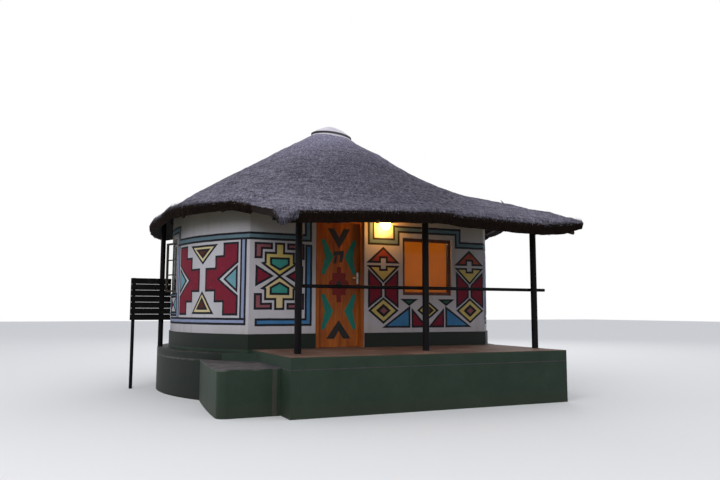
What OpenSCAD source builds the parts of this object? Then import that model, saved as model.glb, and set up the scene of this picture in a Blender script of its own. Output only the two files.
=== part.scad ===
// Rondavel hut: a round plastered hut with a flat front wall, a raised veranda
// and a thatched roof on gum poles. Millimetres, +Z up. The origin is on the axis
// of the round wall at the lowest ground level, and the veranda faces -Y.

/* [Walls] */
// Outer radius of the round wall
wall_r = 3050; // [2900:10:3200]
// Distance from the hut's axis to the face of the flat front wall
front_dist = 2106; // [2050:1:2160]
// Thickness of the plastered walls
wall_t = 220; // [180:5:260]
// Height of the green plinth band above the floor
plinth_h = 239; // [150:1:320]
// How far the plinth band stands out from the wall
plinth_t = 20; // [10:1:30]

/* [Base] */
// Height of the floor above the lowest ground
floor_h = 800; // [600:10:1000]
// Thickness of the hut's floor slab
floor_t = 100; // [75:5:150]
// Height of the ledge round the hut above the lowest ground
apron_h = 750; // [500:10:760]
// How far the ledge runs out from the wall
apron_w = 220; // [150:5:300]

/* [Veranda] */
// Depth of the veranda in front of the flat wall
slab_depth = 1942; // [1800:1:2100]
// Left edge of the veranda, seen from the front
slab_left = 2143; // [2050:1:2190]
// Right edge of the veranda, seen from the front
slab_right = 2410; // [2300:1:2500]
// Thickness of the screed on the veranda
screed_t = 25; // [15:1:40]
// Distance of the step's outer side from the hut's axis
step_left = 3000; // [2800:10:3100]
// Distance of the step's front from the hut's axis
step_front = 3650; // [3400:10:3800]
// Height of the step above the lowest ground
step_h = 630; // [500:10:700]
// Radius of the step's free corner
step_corner = 120; // [60:10:500]
// How much narrower the step is where it meets the ledge
step_taper = 140; // [0:10:300]

/* [Posts and rail] */
// Distance of the row of posts from the hut's axis
post_dist = 3346; // [3200:1:3500]
// Positions of the posts from left to right
post_x = [-1810, 277, 2360];
// Radius of the posts
post_r = 52; // [40:1:65]
// Height of the rail above the veranda
rail_z = 965; // [850:5:1050]
// Radius of the rail
rail_r = 26; // [18:1:35]
// How far the rail runs past the right post
rail_over = 280; // [100:10:400]
// Radius of the beam on the posts
beam_r = 40; // [35:1:60]

/* [Roof] */
// Height of the cone's point above the floor
apex_h = 4400; // [4200:10:4600]
// Fall of the round roof for each unit of run
roof_fall = 0.6; // [0.57:0.01:0.64]
// How far the round eave hangs over past the wall
eave_over = 420; // [350:10:550]
// Depth of the settled hollow in the thatch on the right
roof_sag = 140; // [0:5:150]
// Thickness of the thatch, square to the slope
thatch_t = 200; // [150:5:230]
// Distance of the veranda's eave from the hut's axis
veranda_eave = 4100; // [4000:10:4200]
// Left end of the veranda's roof
veranda_left = 2330; // [2250:10:2400]
// Right end of the veranda's roof
veranda_right = 2780; // [2700:10:2850]
// Height of the veranda's eave above the floor, at the middle post
veranda_eave_h = 2100; // [2050:5:2150]
// Fall of the veranda's roof for each unit of run
veranda_fall = 0.303; // [0.29:0.001:0.32]
// Thickness of the veranda's thatch, measured straight down
veranda_t = 150; // [120:5:180]
// Fall of the veranda's eave to the left of the middle post
camber_left = 0.05; // [0.02:0.005:0.07]
// Fall of the veranda's eave to the right of the middle post
camber_right = 0.02; // [0.005:0.005:0.04]
// Radius of the cement cap
cap_r = 430; // [380:5:500]
// Height of the cap over the thatch at its rim
cap_h = 195; // [150:5:240]

/* [Roof poles] */
// Number of main rafters
rafter_n = 16;
// Radius of the main rafters
rafter_r = 45; // [35:1:50]
// Radius of the veranda's rafters
veranda_rafter_r = 30; // [25:1:35]
// Positions of the veranda's rafters
veranda_rafter_x = [-2150, -1620, -870, 0, 870, 1620, 2150, 2640];
// Thickness of the laths
lath_t = 20; // [15:1:25]
// Width of the laths
lath_w = 40; // [30:1:50]
// Distances of the lath rings from the axis
lath_ring_r = [620, 980, 1340, 1700, 2060, 2420, 3240];

/* [Door] */
// Position of the doorway's middle
door_x = -647; // [-700:1:-600]
// Width of the doorway in the wall
door_w = 879; // [850:1:920]
// Height of the doorway in the wall
door_h = 2150; // [2050:5:2200]
// Width of the door frame's members
door_frame_w = 52; // [45:1:90]
// Depth of the door frame
door_frame_d = 115; // [100:1:130]
// How far the door frame sits back from the wall's face
door_recess = 20; // [10:1:40]
// Thickness of the door leaf
leaf_t = 44; // [35:1:50]
// Height of the handle above the floor
handle_z = 1160; // [1000:5:1200]

/* [Windows] */
// Position of the front window's middle
window_x = 1024; // [1000:1:1060]
// Width of the window openings
window_w = 993; // [900:1:1050]
// Height of the window openings
window_h = 1002; // [900:1:1050]
// Height of the window sills above the floor
window_sill = 882; // [800:1:950]
// Width of the window frames' members
window_frame_w = 55; // [40:1:70]
// Depth of the window frames
window_frame_d = 60; // [50:1:80]
// Thickness of the glass
glass_t = 5; // [3:1:6]
// Turn of the left window behind the line across the hut, in degrees
side_turn = 4.5; // [2:0.5:8]
// Turn of the rear right window behind the line across the hut, in degrees
rear_turn = 45; // [40:1:50]
// Width of the casements' members
sash_w = 34; // [28:1:45]
// Depth of the casements' members
sash_d = 36; // [28:1:45]
// How far the left window's front casement stands open, in degrees
sash_open = 26; // [0:1:60]

/* [Lamp] */
// Position of the porch lamp along the wall
lamp_x = 135; // [100:1:200]
// Height of the porch lamp above the floor
lamp_z = 2077; // [2000:1:2100]
// Radius of the lamp's globe
lamp_r = 85; // [70:1:95]

/* [Screen] */
// Distance of the slatted screen's face behind the hut's axis
screen_y = 460; // [400:10:800]
// Distance of the screen's outer edge from the axis
screen_out = 3740; // [3650:10:3800]
// Distance of the screen's inner edge from the axis
screen_in = 3022; // [3015:1:3060]
// Height of the screen's lower edge above the floor
screen_low = 430; // [350:5:500]
// Number of boards
board_n = 7;
// Height of one board
board_h = 106; // [90:1:107]
// Distance from one board to the next
board_pitch = 110; // [108:1:120]
// Thickness of the boards
board_t = 22; // [18:1:28]
// Radius of the pole under the eave
pole_r = 45; // [35:1:50]
// Radius of the screen's leg
leg_r = 30; // [25:1:40]

/* [Hidden] */

arc_fn = 240;      // facets of the large circles
pole_fn = 24;      // facets of the poles
seat = 0.3;        // running gap where curved pieces seat on each other
far = 9000;        // longer than anything in the hut

// Roof surfaces: the fall over the run gives the slope's angle
slope_a = atan(roof_fall);
thatch_v = thatch_t / cos(slope_a);
veranda_a = atan(veranda_fall);
apron_r = wall_r + apron_w;
eave_r = wall_r + eave_over;
front_in = front_dist - wall_t;
eave_side = sqrt(eave_r * eave_r - front_dist * front_dist);
front_a = atan2(front_dist, eave_side);
post_mid = post_x[1];

// Heights above the lowest ground
function cone_top(r) = floor_h + apex_h - roof_fall * r;
function cone_under(r) = cone_top(r) - thatch_v;
function camber(x) = x < post_mid ? camber_left * (post_mid - x) : camber_right * (x - post_mid);
function veranda_top(x, y) = floor_h + veranda_eave_h + veranda_fall * (y + veranda_eave) - camber(x);
function veranda_under(x, y) = veranda_top(x, y) - veranda_t;
function smooth(t) = t <= 0 ? 0 : t >= 1 ? 1 : t * t * (3 - 2 * t);

// Between the cap and the veranda's roof the thatch has settled on the right
sag_in = 450;
sag_out = 2900;
function sag(r, a) = r < sag_in || r > sag_out ? 0 :
    roof_sag * sin(180 * (r - sag_in) / (sag_out - sag_in)) * smooth((a + 90) / 25) * smooth((10 - a) / 30);

// On the right the round eave sweeps up to the veranda's roof
lift_span = 30;
function sunk_top(r, a) = cone_top(r) - sag(r, a);
function lift(r, a) = smooth((lift_span - front_a - a) / lift_span)
    * max(0, veranda_top(r * cos(a), r * sin(a)) - sunk_top(r, a));

module slab_box(z0, z1) {
    translate([-slab_left, -front_dist - slab_depth, z0])
        cube([slab_left + slab_right, slab_depth, z1 - z0]);
}

// A round block with a flat front
module flat_fronted(r, front, z0, z1) {
    intersection() {
        translate([0, 0, z0]) cylinder(r = r, h = z1 - z0, $fn = arc_fn);
        translate([-far, -front, z0]) cube([2 * far, far, z1 - z0]);
    }
}

// Everything between two directions seen from the axis
module sector(a0, a1) {
    am = (a0 + a1) / 2;
    linear_extrude(height = far)
        polygon([[0, 0], far * [cos(a0), sin(a0)], 2 * far * [cos(am), sin(am)],
            far * [cos(a1), sin(a1)]]);
}

module in_front(y) {
    translate([-far, -far, 0]) cube([2 * far, far - y, far]);
}

// Masonry from the floor to the thatch, with pockets for the rafters
module wall_shell() {
    difference() {
        intersection() {
            flat_fronted(wall_r, front_dist, floor_h, far);
            translate([0, 0, -seat]) under_cone();
        }
        flat_fronted(wall_r - wall_t, front_in, floor_h - 1, far);
    }
}

module round_wall(a0, a1, rafters) {
    difference() {
        intersection() {
            wall_shell();
            sector(a0, a1);
        }
        in_front(front_in);
        for (k = rafters) rafter(k, seat);
    }
}

module front_wall(x0, x1, rafters, poles) {
    difference() {
        intersection() {
            wall_shell();
            translate([x0, -far, 0]) cube([x1 - x0, far - front_in, far]);
        }
        for (k = rafters) rafter(k, seat);
        for (k = poles) veranda_rafter(k, seat);
    }
}

// side is 1 on the right and -1 on the left
module beside_axis(side) {
    if (side > 0) rotate([0, 0, rear_turn]) children();
    else mirror([1, 0, 0]) rotate([0, 0, side_turn]) children();
}

module side_slot() {
    translate([0, -window_w / 2, 0]) cube([far, window_w, far]);
}

module side_opening() {
    translate([0, -window_w / 2, floor_h + window_sill]) cube([far, window_w, window_h]);
}

module side_wall(side, rafters) {
    difference() {
        intersection() {
            wall_shell();
            beside_axis(side) side_slot();
        }
        beside_axis(side) side_opening();
        for (k = rafters) rafter(k, seat);
    }
}

// Main rafter number k, grown by g for its pocket
function rafter_dir(k) = (k + 0.5) * 360 / rafter_n;
rafter_drop = (lath_t + rafter_r) / cos(slope_a) + seat;
apex_r = 300;
tail_back = 390;
rafter_in = apex_r + rafter_r * sin(slope_a) + seat;

// The rafters over the veranda end inside the flat wall
function rafter_out(k) = let (s = sin(rafter_dir(k)))
    s * wall_r < -front_dist * 0.8 ? (front_dist - 60) / -s : eave_r - tail_back;
module rafter(k, g) {
    run = rafter_out(k) - rafter_in;
    rotate([0, 0, rafter_dir(k)])
        translate([rafter_in, 0, cone_under(rafter_in) - rafter_drop])
            rotate([0, 90 + slope_a, 0])
                cylinder(r = rafter_r + g, h = run / cos(slope_a), $fn = pole_fn);
}

// The veranda's rafters rest in the flat wall, but the outer ones stop in front of it
rafter_drop_v = (lath_t + veranda_rafter_r) / cos(veranda_a) + seat;
module veranda_rafter(k, g) {
    x = veranda_rafter_x[k];
    y0 = -veranda_eave + veranda_t / 2;
    into = abs(x) > slab_left - wall_t ? -veranda_rafter_r : wall_t / 2;
    run = -front_dist + into - y0;
    translate([x, y0, veranda_under(x, y0) - rafter_drop_v])
        rotate([veranda_a - 90, 0, 0])
            cylinder(r = veranda_rafter_r + g, h = run / cos(veranda_a), $fn = pole_fn);
}

module foundation() {
    color([0.16, 0.22, 0.19]) flat_fronted(wall_r, front_dist, 0, floor_h - floor_t);
}

module apron() {
    color([0.16, 0.22, 0.19]) difference() {
        cylinder(r = apron_r, h = apron_h, $fn = arc_fn);
        flat_fronted(wall_r, front_dist, -1, apron_h + 1);
        slab_box(-1, floor_h);
        translate([-slab_left, -far, -1]) cube([slab_left + slab_right, far - front_dist, far]);
    }
}

module hut_floor() {
    color([0.42, 0.33, 0.28]) flat_fronted(wall_r, front_dist, floor_h - floor_t, floor_h);
}

module veranda_slab() {
    color([0.17, 0.24, 0.20]) slab_box(0, floor_h - screed_t);
}

module veranda_screed() {
    color([0.42, 0.36, 0.33]) slab_box(floor_h - screed_t, floor_h);
}

// The step's free side draws in towards the ledge
function step_side(t) = [-step_left + step_taper * t * sqrt(t), -step_front + step_corner + 1800 * t];

module step_block() {
    corner = [-step_left + step_corner, -step_front + step_corner];
    outline = concat([[-slab_left, -step_front], [-slab_left, step_side(1.3)[1]]],
        [for (i = [10:-1:1]) step_side(0.13 * i)],
        [for (i = [0:10]) corner + step_corner * [cos(180 + 9 * i), sin(180 + 9 * i)]]);
    color([0.17, 0.23, 0.20]) difference() {
        linear_extrude(step_h) polygon(outline);
        translate([0, 0, -1]) cylinder(r = apron_r + seat, h = far, $fn = 2 * arc_fn);
    }
}

module plinth_band() {
    color([0.14, 0.21, 0.17]) difference() {
        flat_fronted(wall_r + plinth_t, front_dist + plinth_t, apron_h, floor_h + plinth_h);
        flat_fronted(wall_r + seat, front_dist, 0, far);
        slab_box(0, floor_h);
        translate([door_x - door_w / 2, -far, 0]) cube([door_w, far, far]);
    }
}

// Each wall piece names the rafters that cross it
wall_white = [0.86, 0.84, 0.82];
rear_a = 52;
front_open_a = 36;

module wall_left() {
    color(wall_white) difference() {
        round_wall(180 - side_turn, 270 - front_open_a, [8, 9]);
        beside_axis(-1) side_slot();
    }
}

module wall_side_left() {
    color(wall_white) side_wall(-1, [7]);
}

module wall_rear_left() {
    color(wall_white) difference() {
        round_wall(180 - rear_a, 180 - side_turn, [6]);
        beside_axis(-1) side_slot();
    }
}

module wall_rear() {
    color(wall_white) round_wall(2 * rear_turn, 180 - rear_a, [4, 5]);
}

module wall_rear_right() {
    color(wall_white) difference() {
        round_wall(rear_turn, 2 * rear_turn, [2, 3]);
        beside_axis(1) side_slot();
    }
}

module wall_side_right() {
    color(wall_white) side_wall(1, [1, 2]);
}

module wall_right() {
    color(wall_white) difference() {
        round_wall(front_open_a - 90, rear_turn, [14, 15, 0, 1]);
        beside_axis(1) side_slot();
    }
}

module front_wall_left() {
    color(wall_white) front_wall(-far, door_x - door_w / 2, [10], [1]);
}

module front_wall_over_door() {
    color(wall_white) difference() {
        front_wall(door_x - door_w / 2, door_x + door_w / 2, [11], [2]);
        translate([-far, -far, 0]) cube([2 * far, far, floor_h + door_h]);
    }
}

module front_wall_middle() {
    color(wall_white) front_wall(door_x + door_w / 2, window_x - window_w / 2, [12], [3]);
}

module front_wall_window() {
    color(wall_white) difference() {
        front_wall(window_x - window_w / 2, window_x + window_w / 2, [13], [4]);
        translate([-far, -far, floor_h + window_sill]) cube([2 * far, far, window_h]);
    }
}

module front_wall_right() {
    color(wall_white) front_wall(window_x + window_w / 2, far, [], [5]);
}

// Door: the frame has a stop on its outer side, and the leaf opens inwards
door_stop = 12;
leaf_gap = 5;
leaf_under = 8;
lock_gap = 7;
frame_out = -front_dist + door_recess;
frame_in = frame_out + door_frame_d;
jamb_left = door_x - door_w / 2 + door_frame_w;
jamb_right = door_x + door_w / 2 - door_frame_w;
frame_head = floor_h + door_h - door_frame_w;
leaf_left = jamb_left + leaf_gap;
leaf_right = jamb_right - lock_gap;
leaf_top = frame_head - leaf_gap;
leaf_low = floor_h + leaf_under;

module door_frame() {
    color([0.62, 0.30, 0.08]) difference() {
        translate([door_x - door_w / 2, frame_out, floor_h]) cube([door_w, door_frame_d, door_h]);
        translate([jamb_left, frame_in - leaf_t - leaf_gap, floor_h - 1])
            cube([jamb_right - jamb_left, door_frame_d, frame_head - floor_h + 1]);
        translate([jamb_left + door_stop, frame_out - 1, floor_h - 1])
            cube([jamb_right - jamb_left - 2 * door_stop, door_frame_d, frame_head - door_stop - floor_h + 1]);
    }
}

// Three lift-off hinges: a knuckle with a pin on the frame, a bored knuckle on the leaf
hinge_z = [250, 1020, 1800];
knuckle_r = 7;
knuckle_h = 40;
pin_r = 3.5;
hinge_plate_w = 40;
hinge_plate_t = 4;
hinge_x = leaf_left - leaf_gap / 2;
hinge_y = frame_in + knuckle_r + 2;

module door_hinges() {
    color([0.35, 0.30, 0.26]) for (z = hinge_z) translate([hinge_x, hinge_y, floor_h + z]) {
        cylinder(r = knuckle_r, h = knuckle_h, $fn = 24);
        cylinder(r = pin_r, h = 2 * knuckle_h - 2, $fn = 24);
        translate([-hinge_plate_w, frame_in - hinge_y, 0]) cube([hinge_plate_w, hinge_plate_t, knuckle_h]);
    }
}

module leaf_knuckle() {
    difference() {
        union() {
            cylinder(r = knuckle_r, h = knuckle_h, $fn = 24);
            translate([0, frame_in - hinge_y, 0]) cube([hinge_plate_w, hinge_plate_t, knuckle_h]);
        }
        translate([0, 0, -1]) cylinder(r = pin_r + 0.08, h = knuckle_h + 2, $fn = 24);
    }
}

module door_leaf() {
    color([0.66, 0.30, 0.07]) union() {
        translate([leaf_left, frame_in - leaf_t, leaf_low])
            cube([leaf_right - leaf_left, leaf_t, leaf_top - leaf_low]);
        for (z = hinge_z) translate([hinge_x, hinge_y, floor_h + z + knuckle_h + seat]) leaf_knuckle();
    }
}

// A lever on a plate on each face of the leaf
plate_w = 34;
plate_h = 190;
plate_t = 4;
lever_l = 115;
lever_out = 50;
lever_r = 8;
handle_x = leaf_right - 30;

module lever_set() {
    translate([-plate_w / 2, -plate_t, -plate_h / 2]) cube([plate_w, plate_t, plate_h]);
    rotate([90, 0, 0]) cylinder(r = lever_r, h = lever_out, $fn = 24);
    translate([0, -lever_out, 0]) sphere(r = lever_r, $fn = 24);
    translate([0, -lever_out, 0]) rotate([0, -90, 0]) cylinder(r = lever_r, h = lever_l, $fn = 24);
}

module door_handle() {
    color([0.62, 0.62, 0.60]) {
        translate([handle_x, frame_in - leaf_t, floor_h + handle_z]) lever_set();
        translate([handle_x, frame_in, floor_h + handle_z]) mirror([0, 1, 0]) lever_set();
    }
}

// A window frame in its own plane: across is X, depth is Y, its outer face at y = 0
clear_w = window_w - 2 * window_frame_w;
clear_h = window_h - 2 * window_frame_w;
module window_frame() {
    difference() {
        translate([-window_w / 2, 0, 0]) cube([window_w, window_frame_d, window_h]);
        translate([-clear_w / 2, -1, window_frame_w]) cube([clear_w, window_frame_d + 2, clear_h]);
    }
}

module window_pane(x0, x1) {
    translate([x0 + seat, (window_frame_d - glass_t) / 2, window_frame_w + seat])
        cube([x1 - x0 - 2 * seat, glass_t, clear_h - 2 * seat]);
}

// A casement from its hinged edge on, standing in the frame's clear opening
sash_len = clear_w / 2 - 1;
module at_sash(open) {
    translate([-clear_w / 2, 0, window_frame_w]) rotate([0, 0, -open]) children();
}

module sash_ring() {
    difference() {
        cube([sash_len, sash_d, clear_h]);
        translate([sash_w, -1, sash_w]) cube([sash_len - 2 * sash_w, sash_d + 2, clear_h - 2 * sash_w]);
    }
}

module sash_pane() {
    translate([sash_w + seat, (sash_d - glass_t) / 2, sash_w + seat])
        cube([sash_len - 2 * (sash_w + seat), glass_t, clear_h - 2 * (sash_w + seat)]);
}

// Two casements meet in each side window, and the left window's front one stands open
module sashes() {
    at_side_window(-1) at_sash(sash_open) children();
    at_side_window(-1) mirror([1, 0, 0]) at_sash(0) children();
    at_side_window(1) at_sash(0) children();
    at_side_window(1) mirror([1, 0, 0]) at_sash(0) children();
}

window_recess = 35;
pane_edge = window_w / 2 - window_frame_w;

module at_front_window() {
    translate([window_x, -front_dist + window_recess, floor_h + window_sill]) children();
}

// The flat frame stands inside the curve of the round wall
side_face = sqrt(wall_r * wall_r - window_w * window_w / 4) - window_recess;
module at_side_window(side) {
    beside_axis(side) translate([side_face, 0, floor_h + window_sill]) rotate([0, 0, 90]) children();
}

module front_window_frame() {
    color([0.60, 0.28, 0.08]) at_front_window() window_frame();
}

module front_window_glass() {
    color([0.8, 0.5, 0.2, 0.4]) at_front_window() window_pane(-pane_edge, pane_edge);
}

module side_window_frames() {
    color([0.75, 0.70, 0.55]) {
        at_side_window(1) window_frame();
        at_side_window(-1) window_frame();
    }
}

module side_window_sashes() {
    color([0.75, 0.70, 0.55]) sashes() sash_ring();
}

module side_window_glass() {
    color([0.7, 0.75, 0.75, 0.4]) sashes() sash_pane();
}

// Height of the beam's middle line under the veranda's rafters
function beam_z(x) = veranda_under(x, -post_dist) - (lath_t + 2 * veranda_rafter_r + beam_r) / cos(veranda_a) - 2 * seat;
function beam_low(x) = beam_z(x) - beam_r / cos(atan(camber_left)) - seat;
function post_top(x) = min(beam_low(x - post_r), beam_low(x + post_r));
beam_end = 120;
beam_gap = 3;

// A straight pole from one point to another, both in the plane of the posts
module beam_pole(x0, x1) {
    dz = beam_z(x1) - beam_z(x0);
    translate([x0, -post_dist, beam_z(x0)])
        rotate([0, 90 - atan2(dz, x1 - x0), 0])
            cylinder(r = beam_r, h = norm([x1 - x0, dz]), $fn = pole_fn);
}

module veranda_posts() {
    color([0.06, 0.055, 0.06]) for (x = post_x) translate([x, -post_dist, floor_h])
        cylinder(r = post_r, h = post_top(x) - floor_h, $fn = pole_fn);
}

module veranda_rail() {
    x0 = post_x[0];
    x1 = post_x[2] + rail_over;
    color([0.06, 0.055, 0.06]) translate([x0, -post_dist + post_r + rail_r + seat, floor_h + rail_z])
        rotate([0, 90, 0]) cylinder(r = rail_r, h = x1 - x0, $fn = pole_fn);
}

module veranda_beam() {
    color([0.05, 0.045, 0.045]) {
        beam_pole(-veranda_left + beam_end, post_mid - beam_gap);
        beam_pole(post_mid + beam_gap, veranda_right - beam_end);
    }
}

// The rafters stop at a round block under the point of the roof
apex_low = 150;
apex_up = 60;
rafter_up = cone_under(apex_r) - rafter_drop;

module main_rafters() {
    color([0.24, 0.15, 0.09]) for (k = [0:rafter_n - 1]) rafter(k, 0);
}

module veranda_rafters() {
    color([0.20, 0.13, 0.08]) for (k = [0:len(veranda_rafter_x) - 1]) veranda_rafter(k, 0);
}

// One flat ring on the rafters, cut away over the veranda where the flat wall stands
module lath_ring(r) {
    dr = lath_w * cos(slope_a);
    drop = lath_t / cos(slope_a);
    rotate_extrude($fn = arc_fn)
        polygon([[r, cone_under(r) - seat], [r + dr, cone_under(r + dr) - seat],
            [r + dr, cone_under(r + dr) - drop], [r, cone_under(r) - drop]]);
}

module main_laths() {
    color([0.30, 0.20, 0.12]) difference() {
        for (r = lath_ring_r) lath_ring(r);
        in_front(front_in - 20);
    }
}

lath_pitch = 290;
lath_rows = floor((veranda_eave - veranda_t - front_dist - 2 * lath_w) / lath_pitch);
module veranda_lath(x0, x1, y) {
    dz = veranda_under(x1, y) - veranda_under(x0, y);
    drop = lath_t / cos(veranda_a);
    translate([x0, y, veranda_under(x0, y) - seat / 2])
        rotate([0, -atan2(dz, x1 - x0), 0])
            rotate([veranda_a, 0, 0]) translate([0, 0, -lath_t]) cube([norm([x1 - x0, dz]), lath_w, lath_t]);
}

module veranda_laths() {
    color([0.26, 0.17, 0.10]) for (i = [0:lath_rows]) {
        y = -veranda_eave + veranda_t + i * lath_pitch;
        veranda_lath(-veranda_left + beam_end, post_mid - lath_t, y);
        veranda_lath(post_mid + lath_t, veranda_right - beam_end, y);
    }
}

module apex_block() {
    color([0.24, 0.15, 0.09]) translate([0, 0, rafter_up - apex_low])
        cylinder(r = apex_r, h = apex_low + apex_up, $fn = 64);
}

// A ring of thatch with its eave cut square to the slope
thatch_in = 120;
eave_back = thatch_t * sin(slope_a);

module thatch_ring() {
    out = eave_r - eave_back;
    rotate_extrude($fn = arc_fn)
        polygon([[thatch_in, cone_top(thatch_in)], [eave_r, cone_top(eave_r)],
            [out, cone_under(out)], [thatch_in, cone_under(thatch_in)]]);
}

module thatch_wedge(a0, a1) {
    intersection() {
        thatch_ring();
        sector(a0, a1);
    }
}

// The lifted wedge: rings of points from the cap to the eave, first on top and then underneath
ring_n = 12;
function top_point(r, a) = [r * cos(a), r * sin(a), sunk_top(r, a) + lift(r, a)];
function under_point(r, a) = [r * cos(a), r * sin(a), cone_under(r) + seat];

module lifted_block(a0, a1, n) {
    row = n + 1;
    base = row * (ring_n + 1);
    out = eave_r - eave_back;
    function ring_a(j) = a0 + (a1 - a0) * j / n;
    function at(i, j) = i * row + j;
    function under(i, j) = base + i * row + j;
    tops = [for (i = [0:ring_n]) for (j = [0:n])
        top_point(thatch_in + (eave_r - thatch_in) * i / ring_n, ring_a(j))];
    unders = [for (i = [0:1]) for (j = [0:n]) under_point(i == 0 ? thatch_in : out, ring_a(j))];
    faces_top = [for (i = [0:ring_n - 1]) for (j = [0:n - 1]) each
        [[at(i, j), at(i, j + 1), at(i + 1, j)], [at(i, j + 1), at(i + 1, j + 1), at(i + 1, j)]]];
    faces_under = [for (j = [0:n - 1]) each
        [[under(0, j), under(1, j), under(0, j + 1)], [under(0, j + 1), under(1, j), under(1, j + 1)]]];
    ends = [for (j = [0:n - 1]) each
        [[at(0, j), under(0, j), at(0, j + 1)], [at(0, j + 1), under(0, j), under(0, j + 1)],
         [at(ring_n, j), at(ring_n, j + 1), under(1, j)],
         [at(ring_n, j + 1), under(1, j + 1), under(1, j)]]];
    sides = [for (i = [0:ring_n - 1]) each
        [[at(i, 0), at(i + 1, 0), under(0, 0)], [at(i + 1, n), at(i, n), under(0, n)]]];
    shuts = [[at(ring_n, 0), under(1, 0), under(0, 0)], [under(1, n), at(ring_n, n), under(0, n)]];
    polyhedron(points = concat(tops, unders), faces = concat(faces_top, faces_under, ends, sides, shuts));
}

// The space under the thatch
module under_cone() {
    translate([0, 0, cone_under(far)]) cylinder(r1 = far, r2 = 0, h = far * roof_fall, $fn = arc_fn);
}

thatch_grey = [0.36, 0.34, 0.36];
right_start = -90;
right_end = 30;
wedge_gap = 0.01;

module thatch_left() {
    color(thatch_grey) thatch_wedge(150, 180 + front_a);
}

module thatch_back() {
    color(thatch_grey) thatch_wedge(right_end, 150);
}

module thatch_right() {
    color(thatch_grey) difference() {
        lifted_block(right_start + wedge_gap, right_end - wedge_gap, 44);
        translate([0, 0, seat]) veranda_sheet(far / 2, 2);
    }
}

module thatch_front() {
    color(thatch_grey) difference() {
        thatch_wedge(180 + front_a, 360 + right_start);
        translate([0, 0, seat]) veranda_sheet(far / 2, 2);
    }
}

// The veranda's sheet of thatch, flat on each side of the middle post
module veranda_sheet(depth, over) {
    x0 = -veranda_left - over;
    x2 = veranda_right + over;
    y0 = -veranda_eave - over;
    y1 = -front_dist;
    corners = [[x0, y0], [post_mid, y0], [x2, y0], [x2, y1], [post_mid, y1], [x0, y1]];
    tops = [for (c = corners) [c[0], c[1], veranda_top(c[0], c[1])]];
    unders = [for (c = corners) [c[0], c[1], veranda_top(c[0], c[1]) - depth]];
    polyhedron(points = concat(tops, unders), faces = [
        [0, 5, 4, 1], [1, 4, 3, 2], [6, 7, 10, 11], [7, 8, 9, 10],
        [0, 1, 7, 6], [1, 2, 8, 7], [2, 3, 9, 8], [3, 4, 10, 9], [4, 5, 11, 10], [5, 0, 6, 11]]);
}

module veranda_thatch() {
    color(thatch_grey) veranda_sheet(veranda_t, 0);
}

// The cap sits on the thatch, with a shallow dome on top
module roof_cap() {
    rim = 40;
    rise = cap_h - rim;
    dome_r = (cap_r * cap_r + rise * rise) / (2 * rise);
    steps = 10;
    low = cone_top(cap_r) + seat;
    dome = [for (i = [0:steps]) let (x = cap_r * (steps - i) / steps)
        [x, low + rim + sqrt(dome_r * dome_r - x * x) - (dome_r - rise)]];
    color([0.62, 0.58, 0.52]) rotate_extrude($fn = 64)
        polygon(concat([[0, cone_top(thatch_in) + seat], [thatch_in, cone_top(thatch_in) + seat],
            [cap_r, low]], dome));
}

lamp_stand = 120;
module lamp_base() {
    color([0.75, 0.72, 0.66]) difference() {
        translate([lamp_x, -front_dist, floor_h + lamp_z]) rotate([90, 0, 0]) {
            cylinder(r = 55, h = 16, $fn = 32);
            cylinder(r = 32, h = lamp_stand, $fn = 32);
        }
        translate([lamp_x, -front_dist - lamp_stand, floor_h + lamp_z]) sphere(r = lamp_r + seat, $fn = 48);
    }
}

module lamp_globe() {
    color([1.0, 0.95, 0.8]) translate([lamp_x, -front_dist - lamp_stand, floor_h + lamp_z])
        sphere(r = lamp_r, $fn = 48);
}

// Slatted screen at the back left, on a leg and on a pole that props the eave's lath
pole_plan = wall_r + apron_w - pole_r - 5;
pole_y = screen_y + pole_r + seat;
pole_x = -sqrt(pole_plan * pole_plan - pole_y * pole_y);
pole_below = lath_t / cos(slope_a) + seat;

module screen_boards() {
    color([0.06, 0.05, 0.055]) for (i = [0:board_n - 1])
        translate([-screen_out, screen_y - board_t, floor_h + screen_low + i * board_pitch])
            cube([screen_out - screen_in, board_t, board_h]);
}

module screen_posts() {
    color([0.07, 0.06, 0.06]) {
        translate([-screen_out + 2 * leg_r, screen_y + leg_r + seat, 0])
            cylinder(r = leg_r, h = floor_h + screen_low + board_n * board_pitch, $fn = pole_fn);
        intersection() {
            translate([pole_x, pole_y, apron_h]) cylinder(r = pole_r, h = far, $fn = pole_fn);
            translate([0, 0, -pole_below]) under_cone();
        }
    }
}

foundation();
apron();
hut_floor();
veranda_slab();
veranda_screed();
step_block();
plinth_band();
wall_left();
wall_side_left();
wall_rear_left();
wall_rear();
wall_rear_right();
wall_side_right();
wall_right();
front_wall_left();
front_wall_over_door();
front_wall_middle();
front_wall_window();
front_wall_right();
door_frame();
door_hinges();
door_leaf();
door_handle();
front_window_frame();
front_window_glass();
side_window_frames();
side_window_sashes();
side_window_glass();
veranda_posts();
veranda_rail();
veranda_beam();
main_rafters();
veranda_rafters();
main_laths();
veranda_laths();
apex_block();
thatch_left();
thatch_back();
thatch_right();
thatch_front();
veranda_thatch();
roof_cap();
lamp_base();
lamp_globe();
screen_boards();
screen_posts();
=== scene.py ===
import math
import bpy
import numpy as np
from mathutils import Matrix, Vector, noise


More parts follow.
